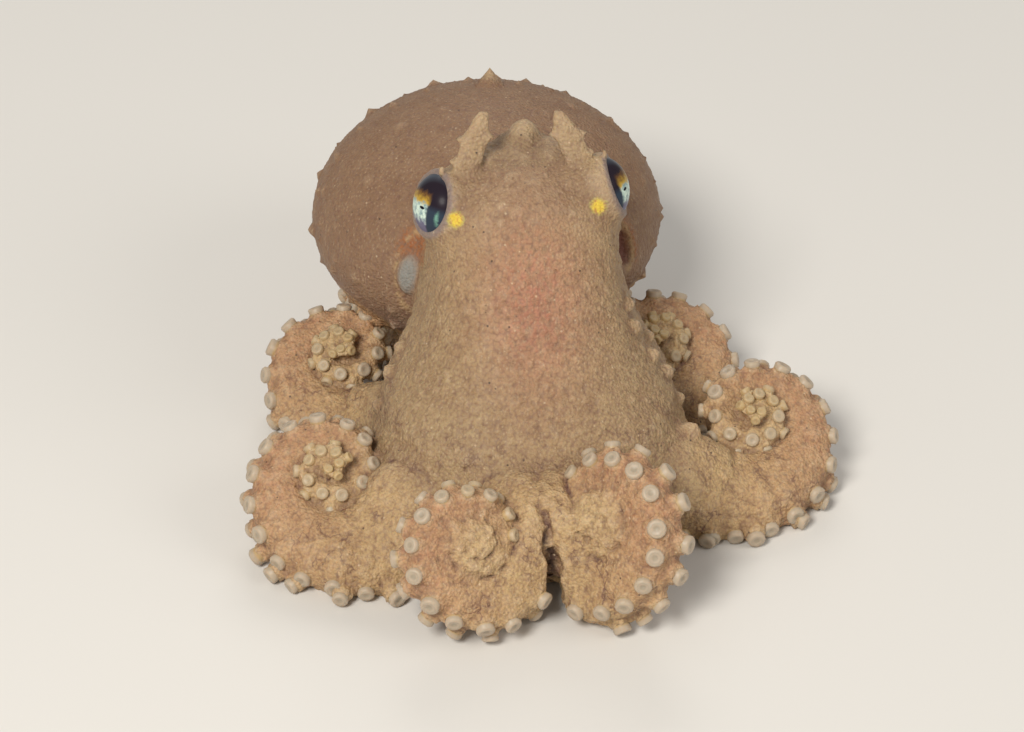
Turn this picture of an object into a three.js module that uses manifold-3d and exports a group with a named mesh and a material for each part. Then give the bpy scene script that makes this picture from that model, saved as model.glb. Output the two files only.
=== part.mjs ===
// A small bottom-living octopus sitting on a flat floor with its arms curled, as a still life-size model.
// Millimetres, +Z up. The animal faces -Y, its own right side is at -X, and its midline is the YZ plane.
// The origin is the middle of the flat underside of the arm crown, where the mouth is.
import * as THREE from "three";
import { mergeVertices } from "three/addons/utils/BufferGeometryUtils.js";
import Module from "manifold-3d";

const wasm = await Module();
wasm.setup();

// ---- Driving dimensions ----
const MANTLE_WIDTH = 35;
const MANTLE_LENGTH = 34;
const MANTLE_HEIGHT = 24.4;
const HEAD_WIDTH = 18;
const EYE_DIAMETER = 6.4;
const BROW_LENGTH = 6.9; // how far a brow papilla stands above its foot
const ARM_THICKNESS = 8; // across an arm where it leaves the crown
const SUCKER_DIAMETER = 1.8;
const GAP = 0.3; // between neighbouring solids

const { lerp, clamp, degToRad } = THREE.MathUtils;
const vec = (x, y, z) => new THREE.Vector3(x, y, z);
const MERGE_WITHIN = 1e-4; // vertices nearer than this are one

// ---- From a three.js geometry to a solid and back ----
function solidOf(geometry) {
  const bare = geometry.clone();
  bare.deleteAttribute("normal");
  bare.deleteAttribute("uv");
  const merged = mergeVertices(bare, MERGE_WITHIN);
  return new wasm.Manifold(
    new wasm.Mesh({
      numProp: 3,
      vertProperties: merged.attributes.position.array,
      triVerts: new Uint32Array(merged.index.array),
    }),
  );
}

function joined(body, parts) {
  return parts.reduce((sum, part) => sum.add(part), body);
}

function largestPiece(solid) {
  return solid.decompose().sort((a, b) => b.volume() - a.volume())[0];
}

function geometryOf(solid) {
  const mesh = solid.getMesh();
  return new THREE.BufferGeometry()
    .setAttribute("position", new THREE.BufferAttribute(mesh.vertProperties, 3))
    .setIndex(new THREE.BufferAttribute(mesh.triVerts, 1));
}

// Moves every vertex of a geometry to where the function puts it.
function reshape(geometry, move) {
  const position = geometry.attributes.position;
  const point = vec(0, 0, 0);
  for (let i = 0; i < position.count; i++) {
    move(point.fromBufferAttribute(position, i));
    position.setXYZ(i, point.x, point.y, point.z);
  }
  return geometry;
}

// Turns a piece made along +Y, with its foot at the origin, to point along a direction from a place.
function planted(geometry, place, direction) {
  const turn = new THREE.Quaternion().setFromUnitVectors(vec(0, 1, 0), direction.clone().normalize());
  return geometry.applyMatrix4(new THREE.Matrix4().compose(place, turn, vec(1, 1, 1)));
}

// ---- Mantle: a rounded sac behind the head, flattened below, with small pointed papillae on its back ----
const MANTLE_CENTRE = vec(-0.8, 30.6, 14.4);
const MANTLE_HALF = vec(MANTLE_WIDTH / 2, MANTLE_LENGTH / 2, MANTLE_HEIGHT / 2);
const BELLY_NARROWING = 0.06; // share by which the lowest part is narrower
const MANTLE_PAPILLA = 1.2;
const PAPILLA_RINGS = [
  { height: 6, count: 16, start: 0 },
  { height: 38, count: 9, start: 15 },
]; // degrees up from the mantle's middle, how many go round, and the bearing of the first
const FRONT_COVERED = -0.45; // no papillae further forward than this share, where the head and neck are

function mantlePoint(direction, grow) {
  const d = direction.clone().normalize();
  const belly = 1 + BELLY_NARROWING * Math.min(d.z, 0);
  return vec(
    MANTLE_CENTRE.x + (MANTLE_HALF.x * belly + grow) * d.x,
    MANTLE_CENTRE.y + (MANTLE_HALF.y * belly + grow) * d.y,
    MANTLE_CENTRE.z + (MANTLE_HALF.z + grow) * d.z,
  );
}

function mantleBody(grow) {
  const sphere = new THREE.SphereGeometry(1, 24, 12).rotateX(Math.PI / 2);
  return solidOf(reshape(sphere, (p) => p.copy(mantlePoint(p, grow))));
}

function mantlePapillae(grow) {
  const cones = [];
  for (const { height, count, start } of PAPILLA_RINGS) {
    for (let i = 0; i < count; i++) {
      const bearing = degToRad(start + (360 * i) / count);
      const lift = degToRad(height);
      const d = vec(Math.cos(bearing) * Math.cos(lift), Math.sin(bearing) * Math.cos(lift), Math.sin(lift));
      if (d.y < FRONT_COVERED) continue;
      const cone = new THREE.ConeGeometry(MANTLE_PAPILLA * 0.75 + grow, MANTLE_PAPILLA * 1.9 + grow, 5);
      cones.push(planted(cone, mantlePoint(d, 0), d));
    }
  }
  return cones.map(solidOf);
}

// ---- Head: between the eyes, standing up on the crown, with a swelling over each eye ----
const HEAD_CENTRE = vec(0.6, 13, 23.5);
const HEAD_HALF = vec(HEAD_WIDTH / 2, 8.4, 8.4);
const EYE_CENTRE = vec(7.4, -0.9, 4.7); // the left eye's, from the head's centre; the right one mirrors it
const EYE_AXIS = vec(0.93, -0.3, 0.2);
const EYE_DEPTH = EYE_DIAMETER * 0.84;
const HEAD_ROLL = degToRad(2.2);
const SWELL = 0.1; // how far the flesh stands up round the eyes, as a share of half the head's size
const SWELL_SPREAD = 0.15;
const SWELL_FORWARD = 2.4; // how much more it stands up to the front than to the side

// A place given from the head's centre, turned with the head's slight roll to its right.
function onHead(place) {
  return place.applyAxisAngle(vec(0, 1, 0), -HEAD_ROLL).add(HEAD_CENTRE);
}

function headBody(grow) {
  const ball = new THREE.SphereGeometry(1, 18, 10).rotateX(Math.PI / 2);
  return solidOf(
    reshape(ball, (p) => {
      const fromEye = Math.hypot(Math.abs(p.x) - 0.8, p.z - 0.45);
      const swell = SWELL * Math.exp(-(fromEye ** 2) / SWELL_SPREAD);
      p.set(
        HEAD_CENTRE.x + (HEAD_HALF.x * (1 + swell) + grow) * p.x,
        HEAD_CENTRE.y + (HEAD_HALF.y * (1 + SWELL_FORWARD * swell) + grow) * p.y,
        HEAD_CENTRE.z + (HEAD_HALF.z * (1 + swell) + grow) * p.z,
      );
    }),
  );
}

function eyeBody(side, grow) {
  const ball = new THREE.SphereGeometry(1, 11, 7);
  const axis = vec(side * EYE_AXIS.x, EYE_AXIS.y, EYE_AXIS.z);
  ball.scale(EYE_DIAMETER / 2 + grow, EYE_DEPTH / 2 + grow, EYE_DIAMETER / 2 + grow);
  const place = onHead(vec(side * EYE_CENTRE.x, EYE_CENTRE.y, EYE_CENTRE.z));
  return solidOf(planted(ball, place, axis));
}

// ---- Brow papilla: a ragged, flattened horn that stands over each eye and leans in ----
const BROW_HALF = 1.8; // half its width at the root
const BROW_THINNESS = 0.45; // its thickness as a share of its width
const BROW_ROOT = 1.5; // how far it runs down into the head
const BROW_FOOT = vec(5.4, -1.6, 6.0); // from the head's centre
const BROW_LEAN_IN = 0.3; // for each millimetre up
const BROW_LEAN_BACK = 0.42;

function browPapilla(side, grow) {
  const foot = onHead(vec(side * BROW_FOOT.x, BROW_FOOT.y, BROW_FOOT.z));
  const horn = new THREE.CylinderGeometry(1, 1, 1, 6, 5);
  horn.rotateX(Math.PI / 2).translate(0, 0, 0.5);
  reshape(horn, (p) => {
    const half = BROW_HALF * lerp(1, 0.5, p.z ** 2) * (1 + 0.1 * Math.cos(p.z * 15));
    const height = lerp(-BROW_ROOT - grow, BROW_LENGTH + grow, p.z);
    p.set(
      foot.x + p.x * (half + grow) - side * BROW_LEAN_IN * height,
      foot.y + p.y * (half * BROW_THINNESS + grow) + BROW_LEAN_BACK * height,
      foot.z + height,
    );
  });
  return solidOf(horn);
}

// ---- Crown: the skirt of skin that spreads from the neck to the arms ----
// Each level is a height and the ellipse there: its middle along Y, half its width and half its depth.
const CROWN_LEVELS = [
  { z: 0, y: 3.0, halfWidth: 12.5, halfDepth: 11.5 },
  { z: 3, y: 3.0, halfWidth: 14.5, halfDepth: 13.0 },
  { z: 7, y: 3.2, halfWidth: 15.0, halfDepth: 13.2 },
  { z: 12, y: 5.2, halfWidth: 13.5, halfDepth: 12.4 },
  { z: 17, y: 8.6, halfWidth: 10.4, halfDepth: 10.9 },
  { z: 21, y: 11.2, halfWidth: 9.1, halfDepth: 10.3 },
  { z: 25, y: 12.8, halfWidth: 8.8, halfDepth: 9.1 },
];
const CROWN_LEAN = 0.6; // how far its top stands towards the animal's left

function crownLevel(z) {
  const k = CROWN_LEVELS.findIndex((l, i) => i > 0 && (l.z >= z || i === CROWN_LEVELS.length - 1));
  const [below, above] = [CROWN_LEVELS[k - 1], CROWN_LEVELS[k]];
  const t = clamp((z - below.z) / (above.z - below.z), 0, 1);
  return {
    y: lerp(below.y, above.y, t),
    halfWidth: lerp(below.halfWidth, above.halfWidth, t),
    halfDepth: lerp(below.halfDepth, above.halfDepth, t),
  };
}

// How much further out than its ellipse the crown is at a bearing: the neck is squarer than the foot.
const NECK_SQUARENESS = 2.7; // 2 would be an ellipse
const SQUARE_FROM = 7; // the height where it starts to be squarer
const SQUARE_TO = 17; // the height from which it is fully so

function squared(bearing, z) {
  const power = lerp(2, NECK_SQUARENESS, clamp((z - SQUARE_FROM) / (SQUARE_TO - SQUARE_FROM), 0, 1));
  return (Math.abs(Math.cos(bearing)) ** power + Math.abs(Math.sin(bearing)) ** power) ** (-1 / power);
}

// How far the web stands out towards the arms at a bearing round the crown, most of all low down.
const WEB_REACH = 2.4;
const WEB_TOP = 11;
const WEB_SPREAD = 0.16;
const WEB_BEARINGS = [-100, -76, -157, -22, 150, 34, 112, 68].map(degToRad);

function webReach(bearing, z) {
  const near = WEB_BEARINGS.map((b) => Math.exp(-((Math.sin((bearing - b) / 2) / WEB_SPREAD) ** 2)));
  return WEB_REACH * Math.max(...near) * clamp(1 - z / WEB_TOP, 0, 1);
}

function crownBody(grow) {
  const top = CROWN_LEVELS.at(-1).z;
  const skirt = new THREE.CylinderGeometry(1, 1, 1, 30, 6);
  skirt.rotateX(Math.PI / 2).translate(0, 0, 0.5);
  return solidOf(
    reshape(skirt, (p) => {
      const z = p.z * top;
      const level = crownLevel(z);
      const lean = CROWN_LEAN * p.z;
      const bearing = Math.atan2(p.y, p.x);
      const wider = squared(bearing, z);
      const spread = grow + webReach(bearing, z);
      p.set(
        p.x * (level.halfWidth * wider + spread) + lean,
        level.y + p.y * (level.halfDepth * wider + spread),
        z + grow * Math.floor(p.z + 0.001), // only the top face is lifted
      );
    }),
  );
}

// ---- Funnel: the short breathing tube that shows in the mantle's opening on the right side ----
const FUNNEL_LENGTH = 7;
const FUNNEL_HALF = 2.3; // half its width at the root
const FUNNEL_ROOT = vec(-5.2, 21.5, 16.8);
const FUNNEL_DIRECTION = vec(-0.6, -0.78, 0.1);

function funnelBody(grow) {
  const tube = new THREE.CylinderGeometry(1, 1, 1, 12, 4);
  tube.translate(0, 0.5, 0);
  reshape(tube, (p) => {
    const half = FUNNEL_HALF * Math.sqrt(1 - 0.75 * p.y ** 3);
    p.set(p.x * (half + grow), lerp(-grow, FUNNEL_LENGTH + grow, p.y), p.z * (half * 1.3 + grow));
  });
  return solidOf(planted(tube, FUNNEL_ROOT, FUNNEL_DIRECTION));
}

// ---- Arms: each leaves the crown, runs through its lead points and ends in a coil, suckers outward ----
// side is +1 for the animal's left. The coil turns about its axis from the entry direction; its centreline
// starts at `radius`, closes by the same share on every turn, and rises along the axis towards the tip.
const ARM_RINGS = 19;
const ARM_SIDES = 7;
const RING_CROWDING = 1.6; // above 1, the rings stand closer together towards the tip
const CLOSING = 0.36; // share of the radius left after each turn of a coil
const PACKING = 0.43; // half an arm's thickness as a share of its radius in the coil
const FLARE_BREADTH = 0.7; // how much of a coil's flare goes into half the arm's thickness
const FLARE_TURN = 0.45; // share of a turn over which the flare dies away
const ARM_TIP = 0.35; // half the thickness at the very tip
const COIL_KNOTS = 16; // knots of the centreline on each turn
const ARM_FLATNESS = 0.94; // an arm's width across its coil as a share of its thickness
const ARMS = [
  {
    name: "arm_right_1",
    suckers: { first: 0.36, step: 1.5, lean: 15 },
    side: -1,
    lead: [vec(-5.0, -2.5, 7.0), vec(-2.6, -7.6, 7.6), vec(-1.2, -11.2, 7.2)],
    coil: {
      centre: vec(-7.6, -13.2, 8.4),
      axis: vec(0.25, -0.8, 0.55),
      entry: vec(0.62, -0.45, -0.65),
      radius: 6.1,
      flare: 0,
      turns: 1.9,
      rise: 2.8,
    },
  },
  {
    name: "arm_left_1",
    suckers: { first: 0.36, step: 1.5, lean: 15 },
    side: 1,
    lead: [vec(5.0, -2.5, 7.0), vec(2.6, -7.6, 7.6), vec(0.9, -10.6, 7.6)],
    coil: {
      centre: vec(5.8, -12.2, 9.3),
      axis: vec(-0.72, -0.55, 0.42),
      entry: vec(-0.45, -0.5, -0.75),
      radius: 6.9,
      flare: 0,
      turns: 1.9,
      rise: 3.2,
    },
  },
  {
    name: "arm_right_2",
    suckers: { first: 0.25, step: 1.8, lean: 8 },
    side: -1,
    lead: [vec(-6, 1.5, 6.5), vec(-11.4, -3.6, 5.4)],
    coil: {
      centre: vec(-19.0, 0.6, 5.6),
      axis: vec(-0.05, -0.5, 0.87),
      entry: vec(0.45, -0.9, 0),
      radius: 6.8,
      flare: 2,
      turns: 1.9,
      rise: 4,
    },
  },
  {
    name: "arm_left_2",
    suckers: { first: 0.25, step: 1.8, lean: 8 },
    side: 1,
    lead: [vec(6, 1.5, 6.5), vec(12.2, -2.0, 5.4)],
    coil: {
      centre: vec(21.6, 4.6, 5.4),
      axis: vec(0.05, -0.5, 0.87),
      entry: vec(-0.5, -0.86, 0),
      radius: 6.8,
      flare: 2,
      turns: 1.9,
      rise: 4,
    },
  },
  {
    name: "arm_right_3",
    suckers: { first: 0.25, step: 1.8, lean: 8 },
    side: -1,
    lead: [vec(-6, 5.5, 6.5), vec(-10.8, 9.4, 5.2)],
    coil: {
      centre: vec(-16.4, 20.2, 4.6),
      axis: vec(-0.1, -0.4, 0.9),
      entry: vec(0.1, -1, 0),
      radius: 6.3,
      flare: 1,
      turns: 1.8,
      rise: 4,
    },
  },
  {
    name: "arm_left_3",
    suckers: { first: 0.25, step: 1.9, lean: 8 },
    side: 1,
    lead: [vec(6, 5.5, 6.5), vec(11, 8.0, 5.4)],
    coil: {
      centre: vec(14.4, 18.2, 4.8),
      axis: vec(0.1, -0.4, 0.9),
      entry: vec(-0.1, -1, 0),
      radius: 6.4,
      flare: 1,
      turns: 1.8,
      rise: 4.4,
    },
  },
  {
    name: "arm_right_4",
    suckers: { first: 0.25, step: 2, lean: 8 },
    side: -1,
    lead: [vec(-3, 9, 4.5), vec(-6.5, 16.5, 3.0), vec(-8.8, 24, 2.3)],
    coil: {
      centre: vec(-8.6, 36.5, 2.1),
      axis: vec(0, 0, 1),
      entry: vec(-0.2, -1, 0),
      radius: 5.2,
      flare: 0,
      turns: 1.8,
      rise: 0.2,
    },
  },
  {
    name: "arm_left_4",
    suckers: { first: 0.25, step: 2, lean: 8 },
    side: 1,
    lead: [vec(3, 9, 4.5), vec(6.5, 16.5, 3.0), vec(8.4, 24, 2.3)],
    coil: {
      centre: vec(7.6, 36.5, 2.1),
      axis: vec(0, 0, 1),
      entry: vec(0.2, -1, 0),
      radius: 5.2,
      flare: 0,
      turns: 1.8,
      rise: 0.2,
    },
  },
];

// The arm's centreline, with the direction in which its suckers face and half its thickness at each point.
function armPath({ side, lead, coil }) {
  const axis = coil.axis.clone().normalize();
  const out = coil.entry.clone().addScaledVector(axis, -coil.entry.dot(axis)).normalize();
  const along = axis.clone().cross(out).multiplyScalar(side);
  const points = lead.map((p) => p.clone());
  const faces = lead.map(() => out.clone());
  const entryHalf = PACKING * coil.radius + FLARE_BREADTH * coil.flare;
  const halves = lead.map((_, i) => lerp(ARM_THICKNESS / 2, entryHalf, i / lead.length));
  const steps = Math.round(coil.turns * COIL_KNOTS);
  for (let i = 0; i <= steps; i++) {
    const turned = (coil.turns * i) / steps;
    const angle = 2 * Math.PI * turned;
    const outward = out.clone().multiplyScalar(Math.cos(angle)).addScaledVector(along, Math.sin(angle));
    const packed = coil.radius * CLOSING ** turned;
    const flare = coil.flare * Math.max(0, 1 - turned / FLARE_TURN) ** 2;
    const radius = packed + flare;
    const place = coil.centre.clone().addScaledVector(outward, radius);
    points.push(place.addScaledVector(axis, (coil.rise * turned) / coil.turns));
    faces.push(outward);
    halves.push(Math.max(ARM_TIP, PACKING * packed + FLARE_BREADTH * flare));
  }
  const curve = new THREE.CatmullRomCurve3(points, false, "centripetal");
  const length = curve.getLength();
  const faceCurve = new THREE.CatmullRomCurve3(faces);
  return (s) => {
    const u = clamp(s, 0, 1);
    const t = curve.getUtoTmapping(u);
    const tangent = curve.getTangent(t);
    const face = faceCurve.getPoint(t);
    face.addScaledVector(tangent, -face.dot(tangent)).normalize();
    const k = Math.min(Math.floor(t * (halves.length - 1)), halves.length - 2);
    return {
      place: curve.getPoint(t),
      face,
      across: tangent.clone().cross(face),
      half: lerp(halves[k], halves[k + 1], t * (halves.length - 1) - k),
      length,
    };
  };
}

// A stretch of an arm between two shares of its length, as a cylinder bent along its path.
function armStretch(path, from, to, grow) {
  const crowded = (s) => (1 - s) ** (1 / RING_CROWDING);
  const rings = Math.max(2, Math.round((crowded(from) - crowded(to)) * ARM_RINGS));
  const tube = new THREE.CylinderGeometry(1, 1, 1, ARM_SIDES, rings);
  tube.translate(0, 0.5, 0);
  const { length } = path(0);
  reshape(tube, (p) => {
    const share = 1 - lerp(crowded(from), crowded(to), p.y) ** RING_CROWDING;
    const section = path(share + lerp(-grow, grow, p.y) / length);
    const half = section.half + grow;
    const { x, z } = p;
    p.copy(section.place).addScaledVector(section.across, x * half * ARM_FLATNESS);
    p.addScaledVector(section.face, z * half);
  });
  return solidOf(tube);
}

// ---- Suckers: two staggered rows along the outward face of an arm, each a short cup on a stalk ----
const LAST_SUCKER = 0.84; // share of the arm's length
const ROW_SPLAY = degToRad(30); // how far each row leans from the middle of the face
const FULL_SIZE_HALF = 2.2; // half an arm's thickness where its suckers reach their full size
const suckerSize = (half) => SUCKER_DIAMETER * clamp((half / FULL_SIZE_HALF) ** 0.6, 0.3, 1);

// `lean` is how far both rows turn towards the open side of the coil.
function suckersOn(path, from, to, { side, suckers }, grow) {
  const cups = [];
  const { length } = path(0);
  let s = suckers.first;
  let row = 1;
  while (s < LAST_SUCKER) {
    const section = path(s);
    const size = suckerSize(section.half);
    if (s > from && s < to) {
      const angle = row * ROW_SPLAY + degToRad(suckers.lean);
      const direction = section.face.clone().multiplyScalar(Math.cos(angle));
      direction.addScaledVector(section.across, -side * Math.sin(angle));
      const foot = section.place.clone().addScaledVector(direction, section.half * 0.8);
      const height = section.half * 0.2 + size * 0.7;
      const cup = new THREE.CylinderGeometry(size * 0.5 + grow, size * 0.38 + grow, height + grow, 5);
      cup.translate(0, (height + grow) / 2, 0);
      cups.push(solidOf(planted(cup, foot, direction)));
    }
    s += (size * suckers.step) / length;
    row = -row;
  }
  return cups;
}

// ---- Putting it together: each solid is cut back from those before it by the gap ----
const SKIN = new THREE.MeshStandardMaterial({ color: 0xb89478, roughness: 0.62, metalness: 0 });
const MANTLE_SKIN = new THREE.MeshStandardMaterial({ color: 0xa9806c, roughness: 0.6, metalness: 0 });
const EYE = new THREE.MeshStandardMaterial({ color: 0x35313f, roughness: 0.15, metalness: 0.1 });
const FUNNEL_SKIN = new THREE.MeshStandardMaterial({ color: 0x9a93a0, roughness: 0.45, metalness: 0 });

const FLOOR_WIDTH = 200;
const FLOOR_DEPTH = 30;
const floorSlab = new THREE.BoxGeometry(FLOOR_WIDTH, FLOOR_WIDTH, FLOOR_DEPTH);
// What later solids are cut back from: the floor, then each solid's grown copy.
const cutters = [solidOf(floorSlab.translate(0, 0, -FLOOR_DEPTH / 2))];
const octopus = new THREE.Group();

function touches(a, b) {
  const [p, q] = [a.boundingBox(), b.boundingBox()];
  return [0, 1, 2].every((k) => p.min[k] < q.max[k] && q.min[k] < p.max[k]);
}

function add(name, build, material) {
  let solid = build(0);
  for (const cutter of cutters) {
    if (touches(solid, cutter)) solid = solid.subtract(cutter);
  }
  cutters.push(build(GAP));
  const mesh = new THREE.Mesh(geometryOf(largestPiece(solid)), material);
  mesh.name = name;
  octopus.add(mesh);
}

for (const [word, side] of [["left", 1], ["right", -1]]) {
  add("eye_" + word, (grow) => eyeBody(side, grow), EYE);
  add("brow_papilla_" + word, (grow) => browPapilla(side, grow), SKIN);
}
add("funnel", funnelBody, FUNNEL_SKIN);
add("head", headBody, SKIN);
add("crown", crownBody, SKIN);
add("mantle", (grow) => joined(mantleBody(grow), mantlePapillae(grow)), MANTLE_SKIN);

const STRETCHES = [
  { word: "base", from: 0, to: 0.34 },
  { word: "middle", from: 0.34, to: 0.6 },
  { word: "tip", from: 0.6, to: 1 },
]; // shares of an arm's length
for (const arm of ARMS) {
  const path = armPath(arm);
  const halfGap = GAP / 2 / path(0).length;
  for (const { word, from, to } of STRETCHES) {
    const start = from > 0 ? from + halfGap : 0;
    const end = to < 1 ? to - halfGap : 1;
    const stretch = (grow) =>
      joined(armStretch(path, start, end, grow), suckersOn(path, start, end, arm, grow));
    add(arm.name + "_" + word, stretch, SKIN);
  }
}

export default octopus;
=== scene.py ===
import math

import bpy
import numpy as np
from mathutils import Matrix, Vector, noise
from mathutils.kdtree import KDTree


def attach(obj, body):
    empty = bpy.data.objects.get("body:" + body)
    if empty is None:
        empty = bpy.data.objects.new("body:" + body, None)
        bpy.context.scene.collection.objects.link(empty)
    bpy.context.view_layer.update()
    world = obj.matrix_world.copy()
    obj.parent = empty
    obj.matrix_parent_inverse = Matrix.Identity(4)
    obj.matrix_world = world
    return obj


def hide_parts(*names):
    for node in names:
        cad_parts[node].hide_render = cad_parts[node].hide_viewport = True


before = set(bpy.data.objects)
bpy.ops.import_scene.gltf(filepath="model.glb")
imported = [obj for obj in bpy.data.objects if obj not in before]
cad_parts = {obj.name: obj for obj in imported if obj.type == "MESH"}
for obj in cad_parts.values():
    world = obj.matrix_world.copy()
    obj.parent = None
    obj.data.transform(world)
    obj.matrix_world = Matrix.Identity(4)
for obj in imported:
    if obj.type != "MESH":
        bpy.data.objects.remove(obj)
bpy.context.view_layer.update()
bpy.ops.object.select_all(action="DESELECT")


# ---- Viewpoint ----
# A long lens looks down on the animal's face from in front, a little to its right-hand side. The
# lens suits a picture 1024 wide and 732 high, though the picture's size itself is not set here.
MM = 0.001
VIEW_AZIMUTH, VIEW_ELEVATION = math.radians(-7), math.radians(36)
VIEW_DISTANCE = 300 * MM
VIEW_TARGET = Vector((-1, 8, 12)) * MM

out_flat = math.cos(VIEW_ELEVATION)
toward_viewer = Vector(
    (math.sin(VIEW_AZIMUTH) * out_flat, -math.cos(VIEW_AZIMUTH) * out_flat, math.sin(VIEW_ELEVATION))
)
bpy.ops.object.camera_add(location=VIEW_TARGET + toward_viewer * VIEW_DISTANCE)
camera = bpy.context.object
camera.rotation_euler = toward_viewer.to_track_quat("Z", "Y").to_euler()
camera.data.sensor_width = 36  # mm, as is the focal length
camera.data.lens = 111.1
camera.data.clip_start = 10 * MM
bpy.context.scene.camera = camera


# ---- Studio floor and lights ----
# A plain pale floor under soft boxes: the main one high in front on the animal's right, a weaker one
# on its left, and one behind that lifts the mantle off the floor.
ROOM_COLOUR = (1.0, 0.97, 0.92, 1)
ROOM_STRENGTH = 0.26


def primitive(add, name, **settings):
    """Adds a primitive with nothing else selected, and names it."""
    bpy.ops.object.select_all(action="DESELECT")
    add(**settings)
    bpy.context.object.name = name
    return bpy.context.object


def new_finish(piece, name, **sockets):
    """Puts a new material on a piece with its constants set, and returns its tree and its shader."""
    finish = bpy.data.materials.new(name)
    finish.use_nodes = True
    shader = finish.node_tree.nodes["Principled BSDF"]
    for socket, value in sockets.items():
        shader.inputs[socket.replace("_", " ")].default_value = value
    piece.data.materials.clear()
    piece.data.materials.append(finish)
    return finish.node_tree, shader


bpy.context.scene.view_settings.view_transform = "Standard"
floor = primitive(bpy.ops.mesh.primitive_plane_add, "floor", size=4)
new_finish(floor, "floor_finish", Base_Color=(0.74, 0.73, 0.71, 1), Roughness=0.9)

SOFT_BOXES = (
    # place in metres, width, watts, colour
    ((-0.22, -0.32, 0.42), 0.2, 2.7, (1.0, 0.95, 0.87)),
    ((0.38, -0.2, 0.3), 0.3, 0.6, (1.0, 0.96, 0.9)),
    ((0.05, 0.45, 0.34), 0.3, 0.7, (1.0, 0.96, 0.9)),
)
for place, width, watts, colour in SOFT_BOXES:
    bpy.ops.object.light_add(type="AREA", location=place)
    lamp = bpy.context.object
    lamp.data.shape = "DISK"
    lamp.data.size = width
    lamp.data.energy = watts
    lamp.data.color = colour
    lamp.rotation_euler = Vector(place).to_track_quat("Z", "Y").to_euler()

world = bpy.data.worlds.new("studio")
world.use_nodes = True
world.node_tree.nodes["Background"].inputs["Color"].default_value = ROOM_COLOUR
world.node_tree.nodes["Background"].inputs["Strength"].default_value = ROOM_STRENGTH
bpy.context.scene.world = world


# ---- Mantle: the rounded sac behind the head that holds the organs ----
# Soft flesh, a little flatter below. It is modelled as a plain form, as all the flesh is, and the one
# skin made further on covers it.
MANTLE_CENTRE = np.array((-0.8, 30.6, 14.4))
MANTLE_HALF = np.array((17.5, 17.0, 12.2))
BELLY_DRAWN_IN = 0.06  # as a share of the half width, at the very bottom
RNG = np.random.default_rng(7)
flesh = []


def points_of(piece):
    """The places of a piece's points, in millimetres."""
    flat = np.empty(len(piece.data.vertices) * 3)
    piece.data.vertices.foreach_get("co", flat)
    return flat.reshape(-1, 3) / MM


def reshape(piece, move):
    """Moves every point of a piece: move takes and gives an array of places in millimetres."""
    moved = move(points_of(piece)) * MM
    piece.data.vertices.foreach_set("co", moved.ravel())
    piece.data.update()


def flesh_ball(name, centre, half, turn=None):
    """A rounded lump of flesh: half its size along three axes, turned by a matrix if one is given."""
    ball = primitive(bpy.ops.mesh.primitive_uv_sphere_add, name, segments=64, ring_count=36, radius=MM)
    bpy.ops.transform.resize(value=tuple(float(h) for h in half))
    bpy.ops.object.transform_apply(location=False, rotation=False, scale=True)
    if turn is not None:
        ball.data.transform(turn.to_4x4())
    ball.data.transform(Matrix.Translation(Vector(centre) * MM))
    flesh.append(ball)
    return ball


def flatten_belly(points):
    low = np.minimum((points[:, 2:] - MANTLE_CENTRE[2]) / MANTLE_HALF[2], 0)
    middle = MANTLE_CENTRE[:2]
    points[:, :2] = middle + (points[:, :2] - middle) * (1 + BELLY_DRAWN_IN * low)
    return points


mantle = flesh_ball("mantle", MANTLE_CENTRE, MANTLE_HALF)
reshape(mantle, flatten_belly)


# ---- Crown: the skirt of skin and muscle that spreads from the neck down to the arms ----
# Drawn up ring by ring from the flat underside, and led out as a web towards the root of each arm.
# Each level is a height and the ellipse there: its middle along Y, half its width and half its depth.
CROWN_LEVELS = np.array(
    (
        (0, 3.0, 12.5, 11.5),
        (3, 3.0, 14.5, 13.0),
        (7, 3.2, 15.0, 13.2),
        (12, 5.2, 13.5, 12.4),
        (17, 8.6, 10.4, 10.9),
        (21, 11.2, 9.1, 10.3),
        (25, 12.8, 8.8, 9.1),
        (27, 13.4, 8.0, 8.0),
        (29, 13.8, 4.5, 4.5),
    )
)
CROWN_LEAN = 0.6  # how far the top stands towards the left side
WEB_REACH = 2.4
WEB_BREADTH = 0.16
WEB_TOP = 11
WEB_BEARINGS = np.radians((-100, -76, -157, -22, 150, 34, 112, 68))
NECK_SQUARENESS = 2.7  # 2 would be an ellipse


def crown_level(z):
    """Middle along X and Y, half width and half depth of the crown at each height."""
    heights = CROWN_LEVELS[:, 0]
    y, width, depth = (np.interp(z, heights, CROWN_LEVELS[:, k]) for k in (1, 2, 3))
    return CROWN_LEAN * np.minimum(z / 25, 1), y, width, depth


def web_reach(bearing, z):
    """How far the web stands out at a bearing round the crown, most of all low down."""
    apart = np.sin((bearing[:, None] - WEB_BEARINGS) / 2) / WEB_BREADTH
    return WEB_REACH * np.exp(-(apart**2)).max(axis=1) * np.clip(1 - z / WEB_TOP, 0, 1)


def squared(bearing, z):
    """How much further out than its ellipse the crown is at a bearing: the neck is the squarer part."""
    power = 2 + (NECK_SQUARENESS - 2) * np.clip((z - 7) / 10, 0, 1)
    return (np.abs(np.cos(bearing)) ** power + np.abs(np.sin(bearing)) ** power) ** (-1 / power)


def spread_web(points):
    x, y, z = points.T
    middle_x, middle_y, width, depth = crown_level(z)
    bearing = np.arctan2((y - middle_y) / depth, (x - middle_x) / width)
    from_middle = np.hypot((x - middle_x) / width, (y - middle_y) / depth)
    wider = squared(bearing, z)
    reach = web_reach(bearing, z) * from_middle
    points[:, 0] = middle_x + (x - middle_x) * wider + reach * np.cos(bearing)
    points[:, 1] = middle_y + (y - middle_y) * wider + reach * np.sin(bearing)
    return points


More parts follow.
